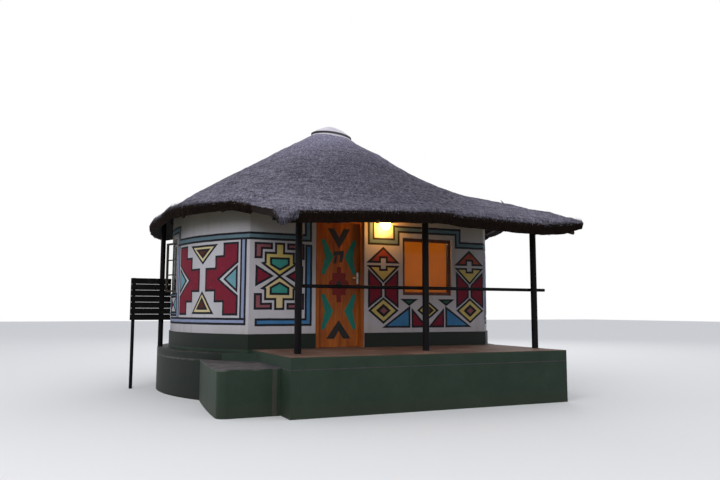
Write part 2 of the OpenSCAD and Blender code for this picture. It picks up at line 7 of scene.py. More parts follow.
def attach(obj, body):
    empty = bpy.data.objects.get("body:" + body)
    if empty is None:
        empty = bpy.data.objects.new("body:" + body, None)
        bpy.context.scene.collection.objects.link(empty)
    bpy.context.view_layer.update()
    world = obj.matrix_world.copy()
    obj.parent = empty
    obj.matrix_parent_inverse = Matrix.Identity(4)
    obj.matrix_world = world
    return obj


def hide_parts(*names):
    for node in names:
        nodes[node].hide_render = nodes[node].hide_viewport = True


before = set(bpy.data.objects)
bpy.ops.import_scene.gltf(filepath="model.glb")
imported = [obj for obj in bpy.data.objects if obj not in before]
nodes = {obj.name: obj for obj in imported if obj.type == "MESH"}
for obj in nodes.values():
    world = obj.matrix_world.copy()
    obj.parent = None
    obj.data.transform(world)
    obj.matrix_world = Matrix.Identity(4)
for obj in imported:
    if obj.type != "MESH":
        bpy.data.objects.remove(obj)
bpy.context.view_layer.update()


def srgb(red, green, blue):
    def one(value):
        value = value / 255
        return value / 12.92 if value <= 0.04045 else ((value + 0.055) / 1.055) ** 2.4
    return (one(red), one(green), one(blue), 1.0)


def newFinish(name, roughness, specular=0.3):
    finish = bpy.data.materials.new(name)
    finish.use_nodes = True
    shader = finish.node_tree.nodes["Principled BSDF"]
    shader.inputs["Roughness"].default_value = roughness
    shader.inputs["Specular IOR Level"].default_value = specular
    return finish, finish.node_tree, shader


def coloured(tree, shader, tone):
    tree.links.new(tone, shader.inputs["Base Color"])


def feed(tree, socket, value):
    if hasattr(value, "is_output"):
        tree.links.new(value, socket)
    else:
        socket.default_value = value


def objectPlace(tree, scale=(1, 1, 1)):
    coordinates = tree.nodes.new("ShaderNodeTexCoord")
    mapping = tree.nodes.new("ShaderNodeMapping")
    mapping.inputs["Scale"].default_value = scale
    tree.links.new(coordinates.outputs["Object"], mapping.inputs["Vector"])
    return mapping.outputs["Vector"]


def grain(tree, scale, stretch=(1, 1, 1), detail=4, rough=0.55, distort=0.0, place=None):
    texture = tree.nodes.new("ShaderNodeTexNoise")
    texture.inputs["Scale"].default_value = scale
    texture.inputs["Detail"].default_value = detail
    texture.inputs["Roughness"].default_value = rough
    texture.inputs["Distortion"].default_value = distort
    tree.links.new(place or objectPlace(tree, stretch), texture.inputs["Vector"])
    return texture.outputs["Fac"]


def ramp(tree, factor, stops):
    node = tree.nodes.new("ShaderNodeValToRGB")
    elements = node.color_ramp.elements
    while len(elements) < len(stops):
        elements.new(0.5)
    for element, (place, colour) in zip(elements, stops):
        element.position = place
        element.color = colour
    tree.links.new(factor, node.inputs["Fac"])
    return node.outputs["Color"]


def step(tree, factor, low, high):
    node = tree.nodes.new("ShaderNodeMapRange")
    node.inputs["From Min"].default_value = low
    node.inputs["From Max"].default_value = high
    tree.links.new(factor, node.inputs["Value"])
    return node.outputs["Result"]


def mix(tree, factor, first, second, kind="MIX"):
    node = tree.nodes.new("ShaderNodeMix")
    node.data_type = "RGBA"
    node.blend_type = kind
    feed(tree, node.inputs["Factor"], factor)
    feed(tree, node.inputs[6], first)
    feed(tree, node.inputs[7], second)
    return node.outputs[2]


def sums(tree, operation, first, second=0.0):
    node = tree.nodes.new("ShaderNodeMath")
    node.operation = operation
    feed(tree, node.inputs[0], first)
    feed(tree, node.inputs[1], second)
    return node.outputs["Value"]


def times(tree, first, second):
    return sums(tree, "MULTIPLY", first, second)


def plus(tree, first, second):
    return sums(tree, "ADD", first, second)


def above(tree, value, limit):
    return sums(tree, "GREATER_THAN", value, limit)


def below(tree, value, limit):
    return sums(tree, "LESS_THAN", value, limit)


def veil(tree, tone, factor, low, high, share, colour):
    # a colour laid thinly over another where the factor passes from low to high
    return mix(tree, times(tree, step(tree, factor, low, high), share), tone, colour)


def axes(tree):
    split = tree.nodes.new("ShaderNodeSeparateXYZ")
    tree.links.new(objectPlace(tree), split.inputs["Vector"])
    return split.outputs["X"], split.outputs["Y"], split.outputs["Z"]


def fromAxis(tree):
    across, along, _ = axes(tree)
    return sums(tree, "SQRT", plus(tree, times(tree, across, across), times(tree, along, along)))


def bumps(tree, shader, *layers):
    normal = None
    for height, strength, distance in layers:
        node = tree.nodes.new("ShaderNodeBump")
        node.inputs["Strength"].default_value = strength
        node.inputs["Distance"].default_value = distance
        tree.links.new(height, node.inputs["Height"])
        if normal:
            tree.links.new(normal, node.inputs["Normal"])
        normal = node.outputs["Normal"]
    tree.links.new(normal, shader.inputs["Normal"])


def dress(name, finish):
    slots = nodes[name].data.materials
    if not slots:
        slots.append(finish)
    for number in range(len(slots)):
        slots[number] = finish


# camera and lights
camera = {"place": (-4.952, -12.543, 1.409), "yaw": -24.06, "pitch": 5.99, "roll": 0.138, "lens": 33.71}
light = {
    "skyStrength": 1.05, "keyPower": 900, "keySize": 10.0, "rearShare": 0.8, "roomPower": 60,
    "fromFloor": (0.16, 0.17, 0.14, 1), "floorSeen": (0.80, 0.80, 0.80, 1),
}

bpy.ops.object.camera_add(location=camera["place"])
cameraObject = bpy.context.object
turn = Matrix.Rotation(math.radians(camera["yaw"]), 4, "Z")
turn = turn @ Matrix.Rotation(math.radians(90 + camera["pitch"]), 4, "X")
turn = turn @ Matrix.Rotation(math.radians(camera["roll"]), 4, "Z")
cameraObject.matrix_world = Matrix.Translation(camera["place"]) @ turn
cameraObject.data.lens = camera["lens"]
cameraObject.data.sensor_width = 36
cameraObject.data.clip_end = 300
bpy.context.scene.camera = cameraObject
bpy.context.scene.view_settings.view_transform = "Standard"


def looking(tree):
    # 1 for what the camera sees, also by way of glass and shine, and 0 for light that falls on things
    rays = tree.nodes.new("ShaderNodeLightPath")
    seen = sums(tree, "MAXIMUM", rays.outputs["Is Camera Ray"], rays.outputs["Is Glossy Ray"])
    return sums(tree, "MAXIMUM", seen, rays.outputs["Is Transmission Ray"])


world = bpy.data.worlds.new("studioWorld")
bpy.context.scene.world = world
world.use_nodes = True
sky = world.node_tree
skyBack = sky.nodes["Background"]
# the overhead part of the sky is the bright one, as at dusk
skyTones = [
    (0.0, (0.12, 0.12, 0.12, 1)), (0.18, (0.30, 0.30, 0.31, 1)), (0.50, (0.58, 0.60, 0.64, 1)),
    (1.0, (0.93, 0.95, 1.0, 1)),
]
heading = sky.nodes.new("ShaderNodeTexCoord")
upward = sky.nodes.new("ShaderNodeSeparateXYZ")
sky.links.new(heading.outputs["Generated"], upward.inputs["Vector"])
sky.links.new(ramp(sky, upward.outputs["Z"], skyTones), skyBack.inputs["Color"])
skyBack.inputs["Strength"].default_value = light["skyStrength"]
whiteBack = sky.nodes.new("ShaderNodeBackground")
whiteBack.inputs["Color"].default_value = (1, 1, 1, 1)
whiteBack.inputs["Strength"].default_value = 1.0
swap = sky.nodes.new("ShaderNodeMixShader")
sky.links.new(looking(sky), swap.inputs["Fac"])
sky.links.new(skyBack.outputs["Background"], swap.inputs[1])
sky.links.new(whiteBack.outputs["Background"], swap.inputs[2])
sky.links.new(swap.outputs["Shader"], sky.nodes["World Output"].inputs["Surface"])


def areaLight(name, place, target, power, size, colour=(1, 1, 1)):
    bpy.ops.object.light_add(type="AREA", location=place)
    lamp = bpy.context.object
    lamp.name = name
    lamp.data.energy = power
    lamp.data.size = size
    lamp.data.color = colour
    lamp.rotation_euler = (Vector(target) - Vector(place)).to_track_quat("-Z", "Y").to_euler()
    return lamp


areaLight("keyLight", (-11, -12, 11), (0, 0, 1.5), light["keyPower"], light["keySize"])
areaLight("rearLight", (9, 13, 12), (0, 0, 2), light["keyPower"] * light["rearShare"], light["keySize"])

bpy.ops.object.light_add(type="POINT", location=(0.7, 0.2, 2.9))
roomLight = bpy.context.object
roomLight.name = "roomLight"
roomLight.data.energy = light["roomPower"]
roomLight.data.color = (1.0, 0.74, 0.42)
roomLight.data.shadow_soft_size = 0.12

bpy.ops.mesh.primitive_plane_add(size=160, location=(0, 0, 0))
ground = bpy.context.object
ground.name = "studioFloor"
finish, tree, shader = newFinish("paleFloor", 0.9, 0.1)
coloured(tree, shader, mix(tree, looking(tree), light["fromFloor"], light["floorSeen"]))
ground.data.materials.append(finish)
print("stage set")

# where the finishes change: the round wall, the ledge round its foot, the floor and the corner step
wall = {"radius": 3.05, "front": -2.106, "foot": 0.80, "corner": 2.206, "inner": 2.94, "innerFront": -1.99}
ledge = {"radius": 3.285, "front": -2.0, "top": 0.750}
cornerStep = {"top": 0.630, "end": -2.16, "front": -3.645, "peeled": (-2.252, -2.188)}
outside, inside = srgb(219, 216, 226), srgb(224, 140, 42)


def plasterBumps(tree, shader):
    bumps(tree, shader, (grain(tree, 7, detail=5), 0.5, 0.006), (grain(tree, 60, detail=3), 0.35, 0.002))


# limewashed plaster outside, with painted shade under the thatch and a stain over the plinth, and orange
# paint in the room
limewash, tree, shader = newFinish("limewash", 0.85)
_, along, up = axes(tree)
blotch = grain(tree, 1.3, detail=5)
streak = grain(tree, 2.2, (3.0, 3.0, 0.35), detail=4)
tone = mix(tree, step(tree, blotch, 0.35, 0.75), outside, srgb(206, 202, 208))
tone = veil(tree, tone, streak, 0.52, 0.78, 0.5, srgb(178, 168, 156))
# painted shade: the wall turns darker and browner just under the thatch
tone = veil(tree, tone, up, 2.70, 2.95, 0.55, srgb(186, 168, 140))
tone = veil(tree, tone, up, 1.22, 0.95, 0.30, srgb(160, 140, 122))
inRoom = times(tree, below(tree, fromAxis(tree), wall["inner"]), above(tree, along, wall["innerFront"]))
room = mix(tree, step(tree, blotch, 0.3, 0.8), inside, srgb(204, 118, 30))
coloured(tree, shader, mix(tree, inRoom, tone, room))
plasterBumps(tree, shader)

# worn dark green paint over concrete
greenBase, tree, shader = newFinish("greenBase", 0.62)
across, along, up = axes(tree)
patch = grain(tree, 1.1, detail=6, rough=0.62)
scuff = grain(tree, 9, (1, 1, 0.6), detail=6, rough=0.7)
tone = ramp(tree, patch, [(0.30, srgb(31, 47, 37)), (0.52, srgb(39, 57, 45)), (0.75, srgb(47, 68, 54))])
tone = veil(tree, tone, scuff, 0.62, 0.80, 0.40, srgb(80, 88, 78))
ragged = plus(tree, up, times(tree, patch, -0.25))
foot = sums(tree, "SUBTRACT", 1.0, step(tree, ragged, -0.02, 0.12))
tone = mix(tree, times(tree, foot, 0.25), tone, srgb(58, 52, 40))
# the ledge and the plinth band are nearly black
onLedge = times(tree, below(tree, fromAxis(tree), ledge["radius"]), above(tree, along, ledge["front"]))
dark = times(tree, onLedge, below(tree, up, ledge["top"] + 0.01))
dark = sums(tree, "MAXIMUM", dark, above(tree, up, wall["foot"] + 0.001))
tone = mix(tree, times(tree, dark, 0.80), tone, srgb(6, 12, 8))
# the step's top is bare screed, and the edges of the step and the ledge are worn pale
bare = times(tree, above(tree, up, cornerStep["top"] - 0.0015), below(tree, up, cornerStep["top"] + 0.01))
tone = mix(tree, bare, tone, ramp(tree, scuff, [(0.3, srgb(58, 54, 59)), (0.7, srgb(84, 79, 84))]))
onStep = below(tree, across, cornerStep["end"])
worn = step(tree, grain(tree, 4, detail=5, rough=0.65), 0.42, 0.66)
wornEdges = ((cornerStep["top"], 0.020, 0.50, onStep), (ledge["top"], 0.016, 0.30, onLedge))
for top, depth, share, where in wornEdges:
    edge = times(tree, above(tree, up, top - depth), below(tree, up, top + 0.002))
    edge = times(tree, times(tree, edge, where), worn)
    tone = mix(tree, times(tree, edge, share), tone, srgb(126, 124, 118))
# a strip of the paint has peeled off the step's front
face = times(tree, below(tree, along, cornerStep["front"]), below(tree, up, cornerStep["top"] - 0.002))
ragged = plus(tree, across, times(tree, scuff, 0.03))
first, last = cornerStep["peeled"]
peeled = times(tree, times(tree, above(tree, ragged, first), below(tree, ragged, last)), face)
tone = mix(tree, times(tree, peeled, 0.45), tone, srgb(96, 88, 82))
coloured(tree, shader, tone)
bumps(tree, shader, (grain(tree, 5, detail=5), 0.5, 0.006), (grain(tree, 45, detail=3), 0.3, 0.002))

# smoothed floor screed, painted green on its side
screed, tree, shader = newFinish("screed", 0.7)
_, along, up = axes(tree)
patch = grain(tree, 1.7, detail=6, rough=0.6)
speck = grain(tree, 70, detail=2)
tone = ramp(tree, patch, [(0.3, srgb(84, 60, 50)), (0.5, srgb(104, 78, 66)), (0.72, srgb(126, 104, 92))])
tone = veil(tree, tone, speck, 0.6, 0.75, 0.35, srgb(150, 138, 130))
side = times(tree, below(tree, up, wall["foot"] - 0.005), below(tree, along, wall["front"] - 0.004))
coloured(tree, shader, mix(tree, side, tone, srgb(46, 62, 50)))
bumps(tree, shader, (patch, 0.4, 0.004), (speck, 0.3, 0.001))

# weathered cement cap, with a dark band round its rim, nearly black on the left and greyer on the right
capTilt = {"far": 0.41, "drop": 0.046, "way": (0.91, -0.41)}
capStain = {"low": (4.906, 4.914), "high": (4.962, 4.948), "far": (0.36, 0.385)}
capCement, tree, shader = newFinish("capCement", 0.9)
across, along, up = axes(tree)
patch = grain(tree, 5.0, detail=6, rough=0.65)
tone = ramp(tree, patch, [(0.3, srgb(200, 195, 204)), (0.5, srgb(226, 221, 231)), (0.7, srgb(236, 232, 240))])
slope = capTilt["drop"] / capTilt["far"]
level = plus(tree, up, times(tree, across, slope * capTilt["way"][0]))
level = plus(tree, level, times(tree, along, slope * capTilt["way"][1]))
stained = times(tree, step(tree, level, *capStain["low"]), step(tree, level, *capStain["high"]))
stained = times(tree, stained, step(tree, fromAxis(tree), *capStain["far"]))
rimTone = mix(tree, step(tree, across, -0.30, 0.35), srgb(34, 32, 36), srgb(104, 100, 104))
coloured(tree, shader, mix(tree, times(tree, stained, 0.95), tone, rimTone))
bumps(tree, shader, (patch, 0.6, 0.012), (grain(tree, 40, detail=4), 0.5, 0.004))


def woodFinish(name, dark, middle, light, roughness, stretch, specular=0.3):
    finish, tree, shader = newFinish(name, roughness, specular)
    rings = grain(tree, 9, stretch, detail=5, rough=0.6, distort=0.4)
    fibre = grain(tree, 60, stretch, detail=3, rough=0.6)
    patch = grain(tree, 2.0, detail=3)
    tone = ramp(tree, rings, [(0.3, srgb(*dark)), (0.5, srgb(*middle)), (0.72, srgb(*light))])
    tone = veil(tree, tone, fibre, 0.55, 0.8, 0.4, srgb(*dark))
    tone = mix(tree, times(tree, step(tree, patch, 0.45, 0.75), 0.3), tone, srgb(*dark), "MULTIPLY")
    coloured(tree, shader, tone)
    bumps(tree, shader, (rings, 0.5, 0.004), (fibre, 0.5, 0.0015))
    return finish


# the grain runs along the piece, where its texture is stretched least
upright, sideways, alongBoard = (1, 1, 0.12), (0.12, 1, 1), (1, 0.12, 1)
black = ((14, 12, 14), (22, 20, 23), (38, 36, 39))
blackPost = woodFinish("blackPost", *black, 0.6, upright, 0.08)
blackPole = woodFinish("blackPole", *black, 0.6, sideways, 0.08)
blackBoard = woodFinish("blackBoard", (8, 8, 9), (14, 13, 15), (28, 26, 27), 0.7, alongBoard, 0.08)
roofPole = woodFinish("roofPole", (34, 22, 16), (52, 34, 25), (78, 56, 40), 0.75, (0.5, 0.5, 0.5))
doorWood = woodFinish("doorWood", (140, 70, 22), (182, 96, 30), (206, 120, 46), 0.45, (1, 1, 0.1))
sideWood = woodFinish("sideWood", (34, 30, 27), (52, 46, 40), (78, 70, 60), 0.6, (1, 1, 0.1))
frameWood = woodFinish("frameWood", (64, 32, 20), (94, 50, 32), (126, 72, 46), 0.5, (1, 1, 0.1))


def attributeOf(tree, name, output="Fac"):
    attribute = tree.nodes.new("ShaderNodeAttribute")
    attribute.attribute_name = name
    return attribute.outputs[output]


# thatch: its stalks run with the slope through the lay attribute
straw, tree, shader = newFinish("straw", 0.9, 0.12)
across, along, up = axes(tree)
slopeWay = tree.nodes.new("ShaderNodeMapping")
slopeWay.inputs["Scale"].default_value = (34, 34, 6)
tree.links.new(attributeOf(tree, "lay", "Vector"), slopeWay.inputs["Vector"])
courses = grain(tree, 1, detail=5, rough=0.6, place=objectPlace(tree, (3.2, 3.2, 30)))
stalks = grain(tree, 1, detail=3, rough=0.6, place=slopeWay.outputs["Vector"])
fleck = grain(tree, 34, detail=3, rough=0.65)
stipple = grain(tree, 28, detail=3, rough=0.6)
patch = grain(tree, 0.9, detail=4)
nearTop = step(tree, up, 3.9, 4.9)
courseTones = [(0.34, srgb(86, 83, 97)), (0.50, srgb(126, 123, 141)), (0.66, srgb(156, 151, 171))]
tone = ramp(tree, courses, courseTones)
tone = mix(tree, times(tree, step(tree, stalks, 0.50, 0.80), nearTop), tone, srgb(164, 160, 176))
tone = mix(tree, times(tree, step(tree, stalks, 0.50, 0.25), nearTop), tone, srgb(92, 89, 102))
tone = veil(tree, tone, fleck, 0.54, 0.74, 0.50, srgb(178, 172, 184))
tone = veil(tree, tone, fleck, 0.46, 0.30, 0.55, srgb(66, 63, 74))
tone = veil(tree, tone, stipple, 0.50, 0.66, 0.60, srgb(186, 181, 196))
tone = veil(tree, tone, stipple, 0.48, 0.34, 0.60, srgb(62, 59, 70))
tone = veil(tree, tone, patch, 0.45, 0.75, 0.30, srgb(98, 95, 108))
# painted light: the thatch is lighter towards the top, where more sky falls on it
tone = mix(tree, times(tree, nearTop, 0.45), tone, srgb(206, 202, 232))
# painted shade: the thatch is darker over the veranda and at the left end
beside = plus(tree, along, 2.7)
spread = plus(tree, times(tree, across, across), times(tree, beside, beside))
tone = veil(tree, tone, spread, 4.0, 0.6, 0.50, srgb(62, 60, 71))
# painted shade at the left end of the roof
tone = veil(tree, tone, across, -2.90, -3.20, 0.60, srgb(46, 43, 50))
# each straw has its own random shade of grey, and what faces down, the cut and the underside, is painted dark
# brown as shade
shade = attributeOf(tree, "shade")
tone = veil(tree, tone, shade, 0.56, 0.92, 0.60, srgb(188, 182, 190))
tone = veil(tree, tone, shade, 0.44, 0.10, 0.60, srgb(56, 53, 62))
paintedShadeBelow = ramp(tree, stalks, [(0.3, srgb(14, 8, 6)), (0.55, srgb(26, 16, 11)), (0.8, srgb(48, 29, 20))])
# the under attribute marks where the painted shade is laid, roughened by the flecks
under = plus(tree, attributeOf(tree, "under"), times(tree, plus(tree, fleck, -0.5), 0.8))
coloured(tree, shader, mix(tree, step(tree, under, 0.22, 0.55), tone, paintedShadeBelow))
bumps(tree, shader, (courses, 0.5, 0.02), (stalks, 0.3, 0.004), (fleck, 0.5, 0.008))

pane, tree, shader = newFinish("clearPane", 0.03, 0.5)
shader.inputs["Base Color"].default_value = (0.92, 0.95, 0.93, 1)
shader.inputs["Transmission Weight"].default_value = 1.0
shader.inputs["IOR"].default_value = 1.15
smear = step(tree, grain(tree, 3, detail=3), 0.5, 0.8)
tree.links.new(plus(tree, times(tree, smear, 0.08), 0.02), shader.inputs["Roughness"])


def speckledFinish(name, roughness, specular, metallic, texture, tones, relief):
    # one fine texture, (scale, stretch, detail), sets the tone from dark to light and the relief
    finish, tree, shader = newFinish(name, roughness, specular)
    shader.inputs["Metallic"].default_value = metallic
    speck = grain(tree, texture[0], texture[1], detail=texture[2])
    coloured(tree, shader, ramp(tree, speck, [(0.3, srgb(*tones[0])), (0.7, srgb(*tones[1]))]))
    if relief:
        bumps(tree, shader, (speck, *relief))
    return finish, shader


satinTones, dullTones = ((150, 150, 148), (205, 205, 202)), ((70, 62, 54), (140, 132, 122))
fittingTones, opalTones = ((190, 184, 168), (216, 210, 196)), ((255, 236, 196), (255, 246, 222))
even = (1, 1, 1)
satinSteel, _ = speckledFinish("satinSteel", 0.35, 0.5, 1.0, (90, (1, 1, 0.1), 3), satinTones, (0.2, 0.0005))
dullSteel, _ = speckledFinish("dullSteel", 0.5, 0.5, 1.0, (60, even, 4), dullTones, (0.4, 0.0006))
lampFitting, _ = speckledFinish("lampFitting", 0.5, 0.3, 0.0, (50, even, 3), fittingTones, (0.2, 0.0004))
litOpal, shader = speckledFinish("litOpal", 0.25, 0.3, 0.0, (14, even, 2), opalTones, None)
shader.inputs["Emission Color"].default_value = (1.0, 0.42, 0.07, 1)
shader.inputs["Emission Strength"].default_value = 55.0

finishOf = {
    "foundation": greenBase, "apron": greenBase, "hut_floor": screed, "veranda_slab": greenBase,
    "veranda_screed": screed, "step_block": greenBase, "plinth_band": greenBase,
    "door_frame": doorWood, "door_hinges": dullSteel, "door_leaf": doorWood, "door_handle": satinSteel,
    "front_window_frame": frameWood, "front_window_glass": pane,
    "side_window_frames": sideWood, "side_window_sashes": sideWood, "side_window_glass": pane,
    "veranda_posts": blackPost, "veranda_rail": blackPole, "veranda_beam": blackPole,
    "main_rafters": roofPole, "veranda_rafters": roofPole, "main_laths": roofPole, "veranda_laths": roofPole,
    "apex_block": roofPole, "roof_cap": capCement, "lamp_base": lampFitting, "lamp_globe": litOpal,
    "screen_boards": blackBoard, "screen_posts": blackPost,
}
for name in nodes:
    if name.startswith("wall_") or name.startswith("front_wall"):
        dress(name, limewash)
    elif "thatch" in name:
        dress(name, straw)
    else:
        dress(name, finishOf[name])
print("finishes made")

# thatch: a coat over each wedge of the roof, and straws on it
roof = {
    "top": 5.2, "fall": 0.6, "slant": 1.166, "thick": 0.233, "rim": 3.47, "eave": 3.448, "inner": 0.125,
    "sag": 0.14, "sagFrom": 0.45, "sagTo": 2.90, "sweep": 30, "post": 0.277, "camberLeft": 0.05,
    "camberRight": 0.02, "sheetTop": 2.9, "sheetFall": 0.303, "sheetSlant": 1.045, "sheetThick": 0.15,
    "front": -4.1, "back": -2.106, "left": -2.33, "right": 2.83,
}
thatch = {
    "column": 0.036, "row": 0.030, "cutRows": 5, "underRows": 18, "blend": 0.07, "cut": 0.13, "cutBack": 0.04,
    "cutFoot": 2.955, "round": 0.035, "soffit": 3.10, "lump": 0.016, "wave": 0.016, "fine": 0.010,
    "droopRun": 0.28, "lipRun": 0.15, "vergeRun": 0.50, "vergeDrop": 0.228, "vergeRise": 0.1136,
    "vergeFrom": -2.294, "cornerDrop": 0.108, "cornerRun": 0.27,
    "straw": (0.05, 0.11), "strawWidth": (0.007, 0.011), "perSquare": 2800, "eavePerMetre": 240,
    "frontPerMetre": 300, "bare": 0.4, "leftmost": -3.62,
}
# the dip round the cap, deepest at its turn, and the hanging left end, which also reaches farther out
capDip = {"deep": 0.055, "turn": -24, "to": 1.08, "run": 0.52}
leftEnd = {
    "hang": 0.09, "from": 2.65, "run": 0.75, "turns": (140, 198), "reach": 0.03, "reachTurns": (140, 236),
}
# how far the round eave has settled at each turn, and the veranda's lip and the height of its cut across it
settled = {
    "turn": (180, 190, 201, 210, 218, 222, 226, 229, 231, 250),
    "drop": (0.010, 0.0, -0.020, -0.030, -0.025, -0.015, 0.02, 0.055, 0.08, 0.03),
}
lips = {
    "across": (-2.33, 0.10, 0.50, 1.20, 1.50, 2.10, 2.50, 2.83),
    "drop": (0.008, 0.008, 0.045, 0.05, 0.065, 0.062, 0.045, 0.008),
    "cutAcross": (-2.33, -2.06, 2.45, 2.78), "cut": (0.03, 0.15, 0.155, 0.085),
}
frontTurn = math.degrees(math.atan2(-roof["back"], math.sqrt(roof["rim"] ** 2 - roof["back"] ** 2)))


def held(value):
    return min(max(value, 0.0), 1.0)


def ease(value):
    value = held(value)
    return value * value * (3 - 2 * value)


def sheetPlane(across, along):
    beside = across - roof["post"]
    camber = roof["camberRight"] * beside if beside > 0 else -roof["camberLeft"] * beside
    return roof["sheetTop"] + roof["sheetFall"] * (along - roof["front"]) - camber


def onSheet(across, along):
    return roof["left"] <= across <= roof["right"] and along <= roof["back"]


def vergeFall(across, along):
    # the sheet rolls over at its left end, and its left corner hangs in a tuft
    near = max(0.0, 1 - (across - roof["left"]) / thatch["vergeRun"])
    drop = max(0.0, thatch["vergeDrop"] + thatch["vergeRise"] * (along - thatch["vergeFrom"])) * near * near
    corner = math.hypot(across - roof["left"], along - roof["front"])
    return drop + thatch["cornerDrop"] * max(0.0, 1 - corner / thatch["cornerRun"])


def eaveDroop(turn):
    # the eave has settled in waves, deepest where it meets the veranda's roof on the left
    way = math.radians(turn)
    plain = 0.008 * noise.noise(Vector((math.cos(way) * 3, math.sin(way) * 3, 5)))
    return plain + float(np.interp(turn % 360, settled["turn"], settled["drop"]))


def coneTop(across, along):
    far, turn = math.hypot(across, along), math.degrees(math.atan2(along, across))
    top = roof["top"] - roof["fall"] * far
    share = 1.0 if onSheet(across, along) else 0.0
    if -90 <= turn <= 30:
        share = ease((roof["sweep"] - frontTurn - turn) / roof["sweep"])
        if roof["sagFrom"] < far < roof["sagTo"]:
            dip = math.sin(math.pi * (far - roof["sagFrom"]) / (roof["sagTo"] - roof["sagFrom"]))
            top -= roof["sag"] * dip * ease((turn + 90) / 25) * ease((10 - turn) / 30)
    dip = capDip["deep"] * (1 + math.cos(math.radians(turn - capDip["turn"])))
    top -= dip * held((capDip["to"] - far) / capDip["run"])
    hang = leftEnd["hang"] * ease((far - leftEnd["from"]) / leftEnd["run"])
    first, last = leftEnd["turns"]
    top -= hang * ease((turn % 360 - first) / 12) * ease((last - turn % 360) / 10)
    run = min(max((far - roof["eave"]) / thatch["droopRun"] + 1, 0.0), 1.2)
    if run > 0:
        free = ease(1 - (across - roof["left"]) / 0.35) if onSheet(across, along) else 1.0
        top -= eaveDroop(turn) * run * run * free
    return top, share


def sheetAt(across, along):
    return sheetPlane(across, along) - (vergeFall(across, along) if onSheet(across, along) else 0.0)


def roofTop(across, along):
    # the round roof runs into the veranda's roof without a step
    top, share = coneTop(across, along)
    if share == 0:
        return top
    sheet = sheetAt(across, along)
    blend = thatch["blend"] * ease((across - roof["left"]) / 0.3)
    both = 0.5 * (top + sheet + math.sqrt((top - sheet) ** 2 + blend ** 2))
    return top + share * (both - top)


def sunk(across, along, high):
    # lumps and wavy courses that follow the contours
    lumps = noise.noise(Vector((across, along, high)) * 1.9) * 0.5 + 0.5
    waves = noise.noise(Vector((across * 2.4, along * 2.4, high * 17))) * 0.5 + 0.5
    fine = noise.noise(Vector((across * 8, along * 8, high * 34))) * 0.5 + 0.5
    return lumps * thatch["lump"] + waves * thatch["wave"] + fine * thatch["fine"]


def wrapCoat(name, node, columns):
    # each column is a closed section: [(place, lay, under), ...]; the grid is wrapped round them
    across, down = len(columns), len(columns[0]) + 1
    bpy.ops.object.select_all(action="DESELECT")
    bpy.ops.mesh.primitive_grid_add(x_subdivisions=across - 1, y_subdivisions=down - 1, size=2)
    piece = bpy.context.object
    piece.name = name
    mesh = piece.data
    flat = np.empty(len(mesh.vertices) * 3)
    mesh.vertices.foreach_get("co", flat)
    flat = flat.reshape(-1, 3)
    spotX = np.rint((flat[:, 0] + 1) / 2 * (across - 1)).astype(int)
    spotY = np.rint((flat[:, 1] + 1) / 2 * (down - 1)).astype(int) % (down - 1)
    table = np.array([[[*place, *lay, under] for place, lay, under in column] for column in columns])
    found = table[spotX, spotY]
    mesh.vertices.foreach_set("co", found[:, 0:3].ravel())
    mesh.attributes.new("lay", "FLOAT_VECTOR", "POINT").data.foreach_set("vector", found[:, 3:6].ravel())
    mesh.attributes.new("under", "FLOAT", "POINT").data.foreach_set("value", found[:, 6].copy())
    mesh.attributes.new("shade", "FLOAT", "POINT").data.foreach_set("value", np.full(len(found), 0.5))
    mesh.update()
    bpy.ops.object.mode_set(mode="EDIT")
    bpy.ops.mesh.select_all(action="SELECT")
    bpy.ops.mesh.remove_doubles(threshold=0.00005)
    bpy.ops.mesh.fill_holes(sides=0)
    bpy.ops.mesh.normals_make_consistent(inside=False)
    bpy.ops.object.mode_set(mode="OBJECT")
    bpy.ops.object.shade_smooth_by_angle(angle=math.radians(55))
    piece.data.materials.append(straw)
    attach(piece, "hut")
    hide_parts(node)
    return table


def lapEdge(way):
    # where the round roof dips under the veranda's sheet, or None where its eave is free
    far = 2.4
    while far < roof["eave"] + 0.013:
        across, along = way.x * far, way.y * far
        if onSheet(across, along) and coneTop(across, along)[0] < sheetAt(across, along) - 0.025:
            return far
        far += 0.004
    return far if onSheet(way.x * far, way.y * far) else None


